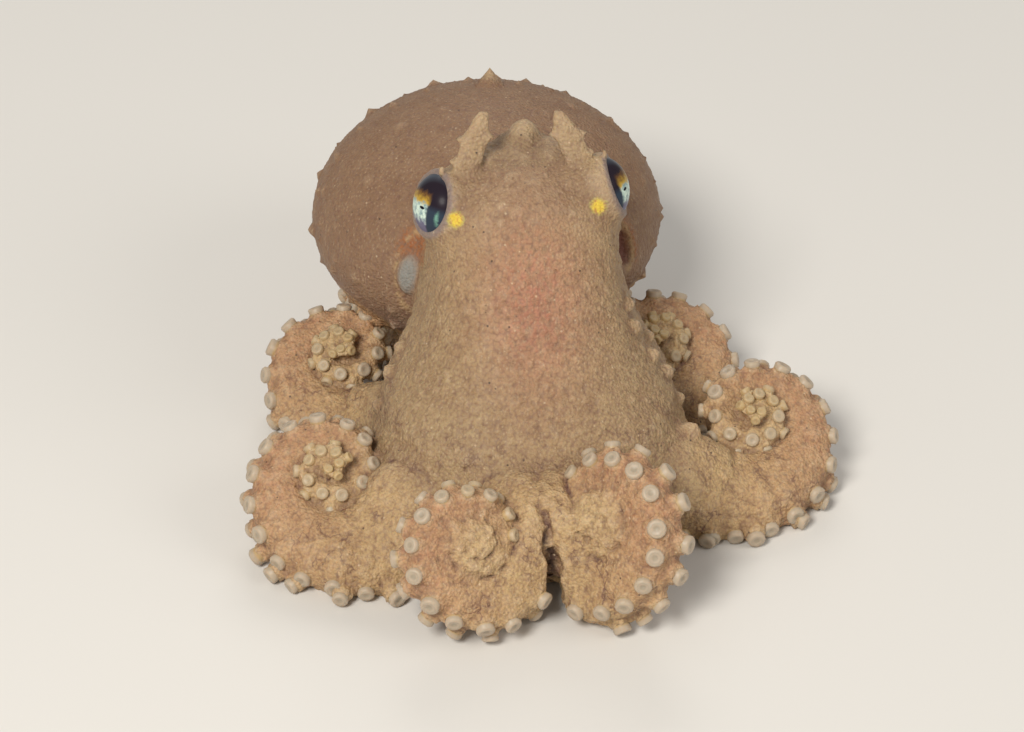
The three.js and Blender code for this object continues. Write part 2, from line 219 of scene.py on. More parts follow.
crown = primitive(bpy.ops.mesh.primitive_circle_add, "crown", vertices=96, radius=MM, fill_type="NGON")
bpy.ops.object.mode_set(mode="EDIT")
bpy.ops.mesh.select_all(action="SELECT")
level_before = (1.0, 1.0, 0.0, 0.0, 0.0)  # width, depth, x, y, z
for z in np.arange(0, 29.5, 1.0):
    x, y, width, depth = (float(value) for value in crown_level(z))
    if z:
        bpy.ops.mesh.extrude_region_move()
    bpy.ops.transform.resize(
        value=(width / level_before[0], depth / level_before[1], 1),
        center_override=tuple(MM * value for value in level_before[2:]),
    )
    step = (x - level_before[2], y - level_before[3], float(z) - level_before[4])
    bpy.ops.transform.translate(value=tuple(MM * value for value in step))
    level_before = (width, depth, x, y, float(z))
bpy.ops.mesh.select_all(action="SELECT")
bpy.ops.mesh.normals_make_consistent(inside=False)
bpy.ops.object.mode_set(mode="OBJECT")
reshape(crown, spread_web)
flesh.append(crown)


# ---- Head: between the eyes, on top of the crown ----
# Firm flesh with a swelling round each eye, a lid rolled round the eye's opening, and a low knob on
# the midline behind the eyes. It is rolled slightly to the animal's right.
HEAD_CENTRE = np.array((0.6, 13.0, 23.5))
HEAD_HALF = np.array((9.0, 8.4, 8.4))
HEAD_ROLL = math.radians(2.2)
EYE_SWELLING = 0.1
EYE_DIAMETER = 6.4
EYE_FROM_HEAD = (7.4, -0.9, 4.7)
EYE_AXIS = (0.93, -0.3, 0.2)
EYE_DEPTH = 0.84 * EYE_DIAMETER
EYE_HALF = (EYE_DIAMETER / 2, EYE_DIAMETER / 2, EYE_DEPTH / 2)
LIDS = {
    # the way the lids' edge looks, and how far out along it the edge lies from the eye's middle
    "left": ((0.93, -0.1, 0.36), 1.6),
    "right": ((-0.85, -0.3, 0.42), 1.4),
}
LID_THICKNESS = 0.38


def on_head(x, y, z):
    """A place given from the head's centre, turned with the head's roll."""
    return Matrix.Rotation(-HEAD_ROLL, 3, "Y") @ Vector((x, y, z)) + Vector(HEAD_CENTRE)


def swell_over_eyes(points):
    unit = (points - HEAD_CENTRE) / HEAD_HALF
    swell = EYE_SWELLING * np.exp(-((np.abs(unit[:, 0]) - 0.8) ** 2 + (unit[:, 2] - 0.45) ** 2) / 0.15)
    grow = 1 + swell[:, None] * np.array((1, 2.4, 1))
    return HEAD_CENTRE + unit * HEAD_HALF * grow


head = flesh_ball("head", HEAD_CENTRE, HEAD_HALF)
reshape(head, swell_over_eyes)
flesh_ball("crest", on_head(0.4, 2.4, 6.1), (3.5, 4.8, 2.9))
flesh_ball("crest_knob", on_head(0.9, 3.7, 8.1), (1.6, 1.9, 2.1))
for side in (-1, 1):
    flesh_ball("brow_ridge", on_head(side * 4.6, -0.5, 5.4), (3.1, 3.5, 2.6))
    flesh_ball("brow_saddle", on_head(side * 3.0, 1.7, 6.4), (2.5, 3.3, 2.5))

eyes = {}
for word, side in (("left", 1), ("right", -1)):
    centre = on_head(side * EYE_FROM_HEAD[0], EYE_FROM_HEAD[1], EYE_FROM_HEAD[2])
    axis = Vector((side * EYE_AXIS[0], EYE_AXIS[1], EYE_AXIS[2])).normalized()
    turn = axis.to_track_quat("Z", "Y").to_matrix()
    lid_looks, lid_out = Vector(LIDS[word][0]).normalized(), LIDS[word][1]
    eyes[word] = (np.array(centre), turn, np.array(lid_looks), lid_out)

    def cut_at_lids(points):
        middle, _, looks, out = eyes[word]
        beyond = np.maximum((points - middle) @ looks - out, 0)
        return points - beyond[:, None] * looks

    for name, thickness in (("orbit_", 0), ("lids_", LID_THICKNESS)):
        wide, deep = EYE_DIAMETER / 2 + thickness, EYE_DEPTH / 2 + thickness
        socket = flesh_ball(name + word, centre, (wide, wide, deep), turn)
        reshape(socket, cut_at_lids)
    for end in (-1, 1):
        along_lid = turn @ Vector((0, 1, 0))
        tuft = centre + lid_looks * (lid_out - 0.5) + along_lid * end * EYE_DIAMETER * 0.56
        flesh_ball("tuft", tuft, (0.3, 0.55, 0.28), turn)


# ---- Brow papillae: a ragged flap of skin that stands up over each eye ----
# Thin flaps of soft skin, raised by the muscle under them: broad at the root and narrow at the tip.
# They lean in, and their outer edge is stepped. Each is drawn out of a cylinder set on the brow.
BROW_ROOT = 1.5
BROW_LEVELS = 48
BROW_THICK_HALF = 0.62
BROWS = {
    # the foot from the head's centre, the lean per mm of height, and how far it stands up
    "left": {"side": 1, "foot": (6.2, -1.6, 6.0), "lean": (-0.4, 0.42), "length": 6.5},
    "right": {"side": -1, "foot": (-5.9, -1.6, 6.0), "lean": (0.37, 0.42), "length": 7.2},
}
BROW_EDGES = np.array(
    (
        # share of the way up, and how far out the outer and the inner edge are there
        (0.00, 1.90, 1.70), (0.15, 1.65, 1.50), (0.28, 1.50, 1.35), (0.38, 1.40, 1.30),
        (0.44, 2.15, 1.35), (0.47, 1.35, 1.25), (0.60, 1.35, 1.30), (0.66, 1.50, 1.50),
        (0.69, 2.20, 2.00), (0.73, 1.20, 1.35), (0.79, 1.10, 1.05), (0.86, 0.90, 0.90),
        (0.93, 0.75, 0.70), (0.97, 0.60, 0.55), (1.00, 0.40, 0.40),
    )
)


def brow_papilla(word, side, foot, lean, length):
    cylinder = bpy.ops.mesh.primitive_cylinder_add
    horn = primitive(cylinder, "brow_papilla_" + word, vertices=28, radius=MM, depth=MM)
    bpy.ops.object.mode_set(mode="EDIT")
    for k in range(1, BROW_LEVELS):
        cut = (k / BROW_LEVELS - 0.5) * MM
        bpy.ops.mesh.select_all(action="SELECT")
        bpy.ops.mesh.bisect(plane_co=(0, 0, cut), plane_no=(0, 0, 1), threshold=1e-7)
    bpy.ops.object.mode_set(mode="OBJECT")

    def draw_out(points):
        height = np.clip(points[:, 2] + 0.5, 0, 1) * (length + BROW_ROOT) - BROW_ROOT
        rise = np.clip(height / length, 0, 1)
        outer, inner = (np.interp(rise, BROW_EDGES[:, 0], BROW_EDGES[:, k]) for k in (1, 2))
        width = np.where(side * points[:, 0] > 0, outer, inner)
        thick = BROW_THICK_HALF * (1.15 - 0.4 * rise) * np.sqrt(np.clip((1.02 - rise) * 14, 0.05, 1))
        drawn = np.stack((points[:, 0] * width, points[:, 1] * thick, height), axis=1)
        return drawn + height[:, None] * (lean[0], lean[1], 0)

    reshape(horn, draw_out)
    horn.data.transform(Matrix.Translation(on_head(*foot) * MM))
    flesh.append(horn)


for word, brow in BROWS.items():
    brow_papilla(word, **brow)


# ---- Mantle opening and funnel ----
# Beside the neck the mantle's thin pale edge stands open. On the right side the smooth bluish
# funnel nearly fills the opening; on the left one looks into the dark hollow.
OPENINGS = {
    # where the opening is, the way it looks, and half its width and height
    "right": {"place": (-9.75, 16.6, 17.6), "looks": (-0.48, -0.81, 0.33), "half": (1.6, 3.7)},
    "left": {"place": (11.3, 19.4, 17.3), "looks": (0.68, -0.65, 0.34), "half": (1.2, 2.5)},
}
OPENING_DEPTH = 1.1
FUNNEL_PLACE = (-9.75, 17.0, 17.2)
FUNNEL_HALF = (1.3, 2.0, 0.8)


def opening_turn(looks):
    """A turn whose third axis looks out of an opening and whose second axis points up it."""
    out = Vector(looks).normalized()
    across = Vector((0, 0, 1)).cross(out).normalized()
    return Matrix((across, out.cross(across), out)).transposed()


for word, opening in OPENINGS.items():
    turn = opening_turn(opening["looks"])
    width, height = opening["half"]
    pit = flesh_ball("opening_pit_" + word, opening["place"], (width, height, OPENING_DEPTH), turn)
    flesh.remove(pit)
    bpy.context.view_layer.objects.active = mantle
    cut = mantle.modifiers.new("opening", "BOOLEAN")
    cut.object = pit
    cut.operation = "DIFFERENCE"
    bpy.ops.object.modifier_apply(modifier=cut.name)
    bpy.data.objects.remove(pit)
flesh_ball("funnel", FUNNEL_PLACE, FUNNEL_HALF, opening_turn(OPENINGS["right"]["looks"]))


# ---- Arms: eight, each running out from under the crown and curling up into a coil ----
# Muscle with the suckers on the outer side of the curl. Each arm has a few lead places, then a spiral
# that closes by the same share on every turn and rises along its axis towards the tip.
ARM_THICKNESS = 8.0
CLOSING = 0.36
PACKING = 0.47
FLARE_BREADTH = 0.7
FLARE_TURN = 0.45
ARM_TIP = 0.35
ARMS = {
    "right_1": dict(
        side=-1, lead=((-5.0, -2.5, 7.0), (-2.6, -7.6, 7.6), (-1.2, -11.2, 7.2)),
        centre=(-7.6, -13.2, 8.4), axis=(0.25, -0.8, 0.55), entry=(0.62, -0.45, -0.65),
        radius=6.1, flare=0, turns=1.9, rise=2.8, lean=8,
    ),
    "left_1": dict(
        side=1, lead=((5.0, -2.5, 7.0), (2.6, -7.6, 7.6), (0.9, -10.6, 7.6)),
        centre=(5.8, -12.2, 9.3), axis=(-0.72, -0.55, 0.42), entry=(-0.45, -0.5, -0.75),
        radius=6.9, flare=0, turns=1.9, rise=3.2, lean=18,
    ),
    "right_2": dict(
        side=-1, reach=1.9, lead=((-6, 1.5, 6.5), (-11.4, -3.6, 5.4)),
        centre=(-19.0, 0.6, 5.6), axis=(-0.05, -0.5, 0.87), entry=(0.45, -0.9, 0),
        radius=6.8, flare=2, turns=1.9, rise=4,
    ),
    "left_2": dict(
        side=1, reach=1.5, lead=((6, 1.5, 6.5), (12.2, -2.0, 5.4)),
        centre=(21.6, 4.6, 5.4), axis=(0.05, -0.5, 0.87), entry=(-0.5, -0.86, 0),
        radius=6.8, flare=2, turns=1.9, rise=4,
    ),
    "right_3": dict(
        side=-1, lead=((-6, 5.5, 6.5), (-10.8, 9.4, 5.2)),
        centre=(-16.4, 20.2, 4.6), axis=(-0.1, -0.4, 0.9), entry=(0.1, -1, 0),
        radius=6.3, flare=1, turns=1.8, rise=4,
    ),
    "left_3": dict(
        side=1, lead=((6, 5.5, 6.5), (11, 8.0, 5.4)),
        centre=(14.4, 18.2, 4.8), axis=(0.1, -0.4, 0.9), entry=(-0.1, -1, 0),
        radius=6.4, flare=1, turns=1.8, rise=4.4,
    ),
    "right_4": dict(
        side=-1, lead=((-3, 9, 4.5), (-6.5, 16.5, 3.0), (-8.8, 24, 2.3)),
        centre=(-8.6, 36.5, 2.1), axis=(0, 0, 1), entry=(-0.2, -1, 0),
        radius=5.2, flare=0, turns=1.8, rise=0.2,
    ),
    "left_4": dict(
        side=1, lead=((3, 9, 4.5), (6.5, 16.5, 3.0), (8.4, 24, 2.3)),
        centre=(7.6, 36.5, 2.1), axis=(0, 0, 1), entry=(0.2, -1, 0),
        radius=5.2, flare=0, turns=1.8, rise=0.2,
    ),
}
STATIONS = 260  # cross-sections along an arm
ARM_SIDES = 36
INNER_TURNS = 0.7  # the tip winds on this much further, and closes the middle of the coil
INNER_SQUARENESS, OUTER_SQUARENESS = 0.62, 0.9  # 1 would be round
PLEAT_DEPTH = 0.1


def unit_rows(vectors):
    return vectors / np.linalg.norm(vectors, axis=1, keepdims=True)


def between(t, t0, t1, p0, p1):
    """The row at t on a straight line that is at p0 at t0 and at p1 at t1."""
    return ((t1 - t) * p0 + (t - t0) * p1) / (t1 - t0)


def smooth_route(knots, steps=8):
    """Rows on one smooth curve through the knots; the first three columns are the place."""
    ends = (2 * knots[0] - knots[1], 2 * knots[-1] - knots[-2])
    all_knots = np.vstack((ends[0], knots, ends[1]))
    rows = []
    for p0, p1, p2, p3 in zip(all_knots, all_knots[1:], all_knots[2:], all_knots[3:]):
        spans = [math.sqrt(np.linalg.norm((b - a)[:3])) for a, b in ((p0, p1), (p1, p2), (p2, p3))]
        t0, t1 = 0, spans[0]
        t2, t3 = t1 + spans[1], t1 + spans[1] + spans[2]
        t = np.linspace(t1, t2, steps, endpoint=False)[:, None]
        middle = between(t, t1, t2, p1, p2)
        before = between(t, t0, t2, between(t, t0, t1, p0, p1), middle)
        after = between(t, t1, t3, middle, between(t, t2, t3, p2, p3))
        rows.append(between(t, t1, t2, before, after))
    return np.vstack(rows + [knots[-1:]])


def arm_route(side, lead, centre, axis, entry, radius, flare, turns, rise, reach=1.0, lean=-16):
    """Evenly spaced stations along an arm, and how far it has turned in its coil at each."""
    axis = np.array(axis) / np.linalg.norm(axis)
    out = np.array(entry) - np.dot(entry, axis) * axis
    out /= np.linalg.norm(out)
    along = np.cross(axis, out) * side
    entry_half = PACKING * radius + FLARE_BREADTH * flare
    knots = []
    for i, place in enumerate(lead):
        share = i / len(lead)
        knots.append((*place, *out, ARM_THICKNESS / 2 * (1 - share) + entry_half * share, 0))
    steps = round((turns + INNER_TURNS) * 16)
    for i in range(steps + 1):
        turned = (turns + INNER_TURNS) * i / steps
        angle = 2 * math.pi * turned
        outward = out * math.cos(angle) + along * math.sin(angle)
        packed = radius * CLOSING**turned
        flared = flare * max(0, 1 - turned / FLARE_TURN) ** 2
        climb = rise * min(turned / turns, 1)
        place = np.array(centre) + outward * (packed + flared) + axis * climb
        half = max(ARM_TIP, PACKING * packed + FLARE_BREADTH * flared)
        knots.append((*place, *outward, half, turned))
    rows = smooth_route(np.array(knots))
    travelled = np.concatenate(([0], np.cumsum(np.linalg.norm(np.diff(rows[:, :3], axis=0), axis=1))))
    even = np.linspace(0, travelled[-1], STATIONS)
    rows = np.stack([np.interp(even, travelled, column) for column in rows.T], axis=1)
    place, face = rows[:, :3], rows[:, 3:6]
    tangent = unit_rows(np.gradient(place, axis=0))
    face = unit_rows(face - (face * tangent).sum(axis=1, keepdims=True) * tangent)
    across = np.cross(tangent, face)
    across *= np.sign((across * axis).sum(axis=1).mean())  # towards the open side of the coil
    return {
        "place": place, "face": face, "across": across, "half": rows[:, 6],
        "turned": rows[:, 7], "length": travelled[-1], "reach": reach, "lean": math.radians(lean),
    }


# Suckers stand in two staggered rows. Both rows lean towards the open side of the coil, the more the
# further in, so that near the tip one row looks up out of the coil.
SUCKER_DIAMETER = 1.76
SUCKER_FIRST, FOLDED_FIRST, SUCKER_LAST = 0.16, 0.29, 0.97
SUCKER_PITCH = 0.6  # from one to the next, in the other row, as a share of its diameter
SUCKER_SMALLEST = 0.46  # as a share of the largest
FULL_SIZE_FROM = 2.2  # half the thickness of an arm where its suckers have their full size
CLOSED_FROM = 0.85  # turns into a folded coil
CLOSED_LEAN = math.radians(30)
STALK_INNER, STALK_OUTER, STALK_CLOSED = 0.1, 0.34, 0.3  # how far they stand out, in diameters
ROW_SPLAY = math.radians(31)
LEAN_ON = math.radians(42)  # how much more they lean for every turn of the coil


def sucker_places(route, small, folded):
    """Each sucker's station, row, size, root, direction, distance from root to foot, and if it shows.

    In a folded coil the inner windings are pressed together, and their suckers are closed knuckles.
    """
    share, row, found = FOLDED_FIRST if folded else SUCKER_FIRST, 1, []
    while share < SUCKER_LAST:
        station = min(round(share * (STATIONS - 1)), STATIONS - 1)
        half, turned = route["half"][station], route["turned"][station]
        share_of_full = min(max((half / FULL_SIZE_FROM) ** small, SUCKER_SMALLEST), 1)
        size = SUCKER_DIAMETER * share_of_full * RNG.uniform(0.92, 1.06)
        closed = folded and turned > CLOSED_FROM
        angle = row * ROW_SPLAY + route["lean"] + LEAN_ON * turned * (not folded) + RNG.normal(0, 0.05)
        angle += CLOSED_LEAN * closed
        direction = route["face"][station] * math.cos(angle) + route["across"][station] * math.sin(angle)
        outer = STALK_OUTER * route["reach"] * (1 - 0.5 * min(turned, 1))
        stalk = STALK_CLOSED if closed else outer if row < 0 else STALK_INNER
        foot = half * 0.95 + stalk * size
        while (route["place"][station] + direction * (foot + 0.4 * size))[2] < 0.4 * size:
            direction = direction + (0, 0, 0.06)
            direction /= np.linalg.norm(direction)
        found.append((station, row, size, route["place"][station], direction, foot, not closed))
        share += size * SUCKER_PITCH / route["length"]
        row = -row
    return found


def arm_flesh(name, route, suckers):
    """A tube bent along the route, squarer on the inner side, with a pleat up its flank to each sucker."""
    cuts = {"x_subdivisions": ARM_SIDES, "y_subdivisions": STATIONS - 1}
    tube = primitive(bpy.ops.mesh.primitive_grid_add, "arm_" + name, size=MM, **cuts)
    pleats = {1: np.zeros(STATIONS), -1: np.zeros(STATIONS)}
    steps = np.arange(STATIONS) * route["length"] / (STATIONS - 1)
    for station, row, size, *_ in suckers:
        away = (steps - steps[station]) / (0.5 * size)
        pleats[row] = np.maximum(pleats[row], np.exp(-(away**2)))

    def bend(points):
        angle = (points[:, 0] + 0.5) * 2 * math.pi
        station = np.rint((points[:, 1] + 0.5) * (STATIONS - 1)).astype(int)
        half = route["half"][station]
        up, flank = np.sin(angle), np.cos(angle)
        square = np.where(up < 0, INNER_SQUARENESS, OUTER_SQUARENESS)
        across = np.sign(flank) * np.abs(flank) ** square * 0.94
        outward = np.sign(up) * np.abs(up) ** square * np.where(up < 0, 1.12, 1)
        pleat = np.where(flank > 0, pleats[1][station], pleats[-1][station])
        pleat = (pleat - 0.6) * PLEAT_DEPTH * np.clip(up + 0.3, 0, 1) * np.abs(flank) ** 0.5
        end = np.isin(station, (0, STATIONS - 1))
        half = np.where(end, half * 0.05, half * (1 + pleat))[:, None]
        return route["place"][station] + half * (
            across[:, None] * route["across"][station] + outward[:, None] * route["face"][station]
        )

    reshape(tube, bend)
    bpy.ops.object.mode_set(mode="EDIT")
    bpy.ops.mesh.select_all(action="SELECT")
    bpy.ops.mesh.remove_doubles(threshold=0.002 * MM)
    bpy.ops.mesh.select_all(action="DESELECT")
    bpy.ops.mesh.select_non_manifold()
    bpy.ops.mesh.fill_holes(sides=0)
    bpy.ops.mesh.select_all(action="SELECT")
    bpy.ops.mesh.normals_make_consistent(inside=False)
    bpy.ops.object.mode_set(mode="OBJECT")
    flesh.append(tube)


def stalk_flesh(suckers):
    """A stout stalk of flesh under each cup, from inside the arm."""
    radii = {"radius1": 0.76 * MM, "radius2": 0.6 * MM}  # for a sucker 1 mm across
    cone = primitive(bpy.ops.mesh.primitive_cone_add, "stalk", vertices=14, depth=MM, **radii)
    for _, _, size, root, direction, foot, _ in suckers:
        stalk = bpy.data.objects.new("stalk", cone.data.copy())
        bpy.context.collection.objects.link(stalk)
        length = foot * 0.5
        turn = Vector(direction).to_track_quat("Z", "Y").to_matrix().to_4x4()
        middle = Vector(root + direction * (foot + 0.07 * size - length / 2))
        stalk.data.transform(
            Matrix.Translation(middle * MM) @ turn @ Matrix.Diagonal((size, size, length, 1))
        )
        flesh.append(stalk)
    bpy.data.objects.remove(cone)


def coil_core(name, centre, axis, radius, rise):
    """The tip's last winding, pressed together in the middle of the coil."""
    out = Vector(axis).normalized()
    place = Vector(centre) + out * rise * 0.62
    turn = out.to_track_quat("Z", "Y").to_matrix()
    flesh_ball("core_" + name, place, (radius * 0.24, radius * 0.24, radius * 0.12 + rise * 0.2), turn)
    if name.endswith("1"):  # the folded coils are filled between their windings
        flesh_ball("fold_" + name, centre, (radius * 0.8, radius * 0.8, radius * 0.47), turn)


for name, arm in ARMS.items():
    coil_core(name, arm["centre"], arm["axis"], arm["radius"], arm["rise"])
routes = {name: arm_route(**arm) for name, arm in ARMS.items()}
suckers = {}
for name, route in routes.items():
    folded = name.endswith("1")
    suckers[name] = sucker_places(route, 0.6 if folded else 0.34, folded)
for name, route in routes.items():
    arm_flesh(name, route, suckers[name])
    stalk_flesh(suckers[name])


# ---- Skin: one soft coat over all the flesh, without a seam ----
# The forms are wrapped in one surface, the places where they meet are drawn smooth, and small pointed
# papillae and rounded warts are raised on it.
BODY_VOXEL = 0.5  # mm, for the body before the arms and details are added
SKIN_VOXEL = 0.23
SKIN_FACES = 190000


def normals_of(piece):
    flat = np.empty(len(piece.data.vertices) * 3)
    piece.data.vertex_normals.foreach_get("vector", flat)
    return flat.reshape(-1, 3)


def fade(value, full, none):
    """1 where value is at full, 0 at none, and smooth between. Both are mostly distances in mm."""
    t = np.clip((value - none) / (full - none), 0, 1)
    return t * t * (3 - 2 * t)


def above_floor(points):
    return np.maximum(points, (-np.inf, -np.inf, 0))


def distance(points, place):
    return np.linalg.norm(points - np.array(place), axis=1)


def apply_modifier(piece, kind, **settings):
    modifier = piece.modifiers.new(kind.lower(), kind)
    for name, value in settings.items():
        setattr(modifier, name, value)
    bpy.context.view_layer.objects.active = piece
    bpy.ops.object.modifier_apply(modifier=modifier.name)


def join_flesh(pieces):
    bpy.ops.object.select_all(action="DESELECT")
    for piece in pieces:
        piece.select_set(True)
    bpy.context.view_layer.objects.active = pieces[0]
    bpy.ops.object.join()
    return pieces[0]


def soften(piece, weights, rounds):
    """Smooths a piece by a weight at each of its points."""
    group = piece.vertex_groups.new(name="soften")
    levels = np.rint(np.clip(weights, 0, 1) * 20).astype(int)
    for level in range(1, 21):
        group.add(np.nonzero(levels == level)[0].tolist(), level / 20, "REPLACE")
    apply_modifier(piece, "SMOOTH", vertex_group=group.name, factor=0.5, iterations=rounds)
    piece.vertex_groups.clear()


# The two front arms part along a narrow slit, which opens towards the floor.
SLIT = np.array(
    (
        # place, and how wide the slit is there
        (-0.6, -13.7, 9.2, 0.0), (-0.4, -15.2, 7.4, 0.15),
        (-0.1, -15.9, 5.2, 0.42), (0.0, -15.5, 1.5, 0.8),
    )
)


def slit_share(points):
    """1 along the slit between the two front arms, 0 away from it."""
    share = np.zeros(len(points))
    for start, end in zip(SLIT, SLIT[1:]):
        along = end[:3] - start[:3]
        t = np.clip((points - start[:3]) @ along / (along @ along), 0, 1)
        off = points - start[:3] - t[:, None] * along
        width = start[3] + (end[3] - start[3]) * t
        wander = 0.3 * np.sin(points[:, 2] * 1.3) * np.sin(points[:, 2] * 0.5 + 1)
        near_it = np.linalg.norm(off, axis=1) < 3
        share = np.maximum(share, near_it * fade(np.abs(off[:, 0] + wander), 0.3 * width, 0.22 + width))
    return share


def off_ellipsoid(points, centre, half):
    """Roughly how far each point is outside an ellipsoid."""
    unit = (points - centre) / half
    return (np.linalg.norm(unit, axis=1) - 1) * half.mean()


def survey(points):
    """How far each point is from the mantle, head, crown and nearest arm, and its place on that arm."""
    x, y, z = points.T
    middle_x, middle_y, width, depth = crown_level(z)
    bearing = np.arctan2((y - middle_y) / depth, (x - middle_x) / width)
    ring = np.hypot((x - middle_x) / width, (y - middle_y) / depth) / squared(bearing, z)
    crown = (ring - 1) * (width + depth) / 2 - web_reach(bearing, z) + np.maximum(z - 25, 0)
    near = {
        "mantle": off_ellipsoid(points, MANTLE_CENTRE, MANTLE_HALF),
        "head": off_ellipsoid(points, HEAD_CENTRE, HEAD_HALF),
        "crown": crown,
        "arm": np.full(len(points), 99.0),
        "next": np.full(len(points), 99.0),  # the second nearest of crown, arms and windings of an arm
        "turned": np.zeros(len(points)),
        "toward_face": np.zeros(len(points)),
    }
    for route in routes.values():
        place, half, turned, face = (route[name][::2] for name in ("place", "half", "turned", "face"))
        reached = (points > place.min(axis=0) - 6) & (points < place.max(axis=0) + 6)
        inside = np.nonzero(reached.all(axis=1))[0]
        for some in np.array_split(inside, len(inside) // 4000 + 1):
            if not len(some):
                continue
            offset = points[some][:, None] - place
            gaps = np.linalg.norm(offset, axis=2) - half
            best = gaps.argmin(axis=1)
            rows = np.arange(len(some))
            gap = gaps[rows, best]
            toward = (offset[rows, best] * face[best]).sum(axis=1) / half[best]
            other = np.where(np.abs(turned - turned[best][:, None]) > 0.4, gaps, 99).min(axis=1)
            nearer = gap < near["arm"][some]
            second = np.minimum(near["next"][some], np.where(nearer, near["arm"][some], gap))
            near["next"][some] = np.where(nearer, np.minimum(second, other), second)
            chosen = some[nearer]
            near["arm"][chosen] = gap[nearer]
            near["turned"][chosen] = turned[best][nearer]
            near["toward_face"][chosen] = toward[nearer]
    wander = np.array([noise.noise(place) for place in points * 0.9])
    in_coil = fade(np.abs(near["next"] - near["arm"]), 0.06, 0.3) * fade(near["next"], 1.6, 2.4)
    in_coil *= fade(crown, 1.8, 0.6) * fade(near["turned"], 1.15, 1.5)
    at_root = fade(np.abs(crown - near["arm"]), 0.06, 0.3) * fade(crown, 0.8, 1.6)
    near["crease"] = np.maximum(in_coil, 0.35 * at_root) * fade(z, 1.5, 0.5) * fade(wander, 0.15, -0.1)
    return near


def by(part, full, none):
    """1 for points as near a part as full, 0 for those at none, by the last survey."""
    return fade(near[part], full, none)


def from_openings(points):
    return np.min([distance(points, opening["place"]) for opening in OPENINGS.values()], axis=0)


# First the body alone, wrapped coarsely, with the hollows between its parts drawn smooth.
BODY_FORMS = (
    "mantle", "crown", "head", "crest", "crest_knob",
    "brow_ridge", "brow_saddle", "orbit_left", "orbit_right",
)
body_forms = [piece for piece in flesh if piece.name.split(".")[0] in BODY_FORMS]
details = [piece for piece in flesh if piece not in body_forms]
body = join_flesh(body_forms)
apply_modifier(body, "REMESH", mode="VOXEL", voxel_size=BODY_VOXEL * MM)
points = points_of(body)
x, y, z = points.T
near = survey(points)
meeting = np.zeros(len(points))
for a, b, reach in (("mantle", "crown", 2.5), ("mantle", "head", 2.5), ("crown", "head", 4.0)):
    meeting = np.maximum(meeting, by(a, 0.3, reach) * by(b, 0.3, reach))
meeting *= fade(from_openings(points), 4.6, 3.2)
soften(body, meeting, rounds=60)
face = fade(y, 15, 18) * fade(z, 17, 13) * fade(z, 27.5, 30)
for centre, *_ in eyes.values():
    face *= fade(distance(points, centre), 4.0, 3.0)
soften(body, face, rounds=260)
forehead = fade(z, 26, 28) * by("head", 3.0, 5.0) * by("mantle", 0.6, 1.2)
soften(body, forehead, rounds=40)
soften(body, fade(from_openings(points), 4.0, 4.6) * 0.6, rounds=3)

# Then everything is wrapped finely as one skin.
skin = join_flesh([body] + details)
skin.name = "skin"
reshape(skin, above_floor)
apply_modifier(skin, "REMESH", mode="VOXEL", voxel_size=SKIN_VOXEL * MM)
points = points_of(skin)
x, y, z = points.T
near = survey(points)
roots = by("crown", 1.3, 4.4) * by("arm", 0.5, 2.2) * by("turned", 0.06, 0.3)
soften(skin, roots * fade(z, 1.0, 0.3), rounds=150)
cores = np.zeros(len(points))
for name in ("right_1", "left_1"):
    from_core = distance(points, ARMS[name]["centre"]) / ARMS[name]["radius"]
    cores = np.maximum(cores, fade(from_core, 0.58, 0.78))
soften(skin, cores, rounds=90)
soften(skin, by("arm", 0.6, 1.2) * fade(z, 1.0, 0.3), rounds=3)
brow_roots = np.zeros(len(points))
for word, (centre, turn, lid_looks, lid_out) in eyes.items():
    from_lids = lid_out - (points - centre) @ lid_looks
    round_eye = fade(distance(points, centre), 3.8, 6.0) * fade(from_lids, 1.2, 0.4)
    round_eye *= fade(z, centre[2] + 2.8, centre[2] + 3.8)
    from_foot = distance(points, on_head(*BROWS[word]["foot"]))
    brow_roots = np.maximum(brow_roots, np.maximum(round_eye, fade(from_foot, 0.8, 1.8)))
soften(skin, brow_roots, rounds=30)
soften(skin, fade(from_openings(points), 4.6, 3.6) * 0.5, rounds=2)


# Papillae and warts: spaced at random but never close, each drawn out along its own normal.
def scatter(points, wanted, spacing):
    """Indices of wanted points picked at random, none nearer another than the spacing."""
    order = RNG.permutation(np.nonzero(wanted)[0])
    taken = {}
    for i in order:
        cell = tuple(np.floor(points[i] / spacing).astype(int))
        around = (
            taken.get((cell[0] + dx, cell[1] + dy, cell[2] + dz), ())
            for dx in (-1, 0, 1) for dy in (-1, 0, 1) for dz in (-1, 0, 1)
        )
        if all(np.linalg.norm(points[i] - points[j]) >= spacing for js in around for j in js):
            taken.setdefault(cell, []).append(i)
    return [i for js in taken.values() for i in js]


def raise_bumps(chosen, radius, height, sharpness, sizes=(0.4, 1.15)):
    """Draws the skin up into a bump at each chosen point, each at its own size."""
    for i in chosen:
        size = RNG.uniform(*sizes)
        for _, j, away in skin_tree.find_range(raised[i], radius * size):
            raised[j] += normals[i] * height * size * (1 - away / (radius * size)) ** sharpness


def pebbles(places):
    """0 in the gaps and 1 on top of rounded pebbles about one unit across."""
    near_two = (noise.voronoi(place)[0] for place in places)
    return np.clip(np.array([two[1] - two[0] for two in near_two]) * 1.7, 0, 1)


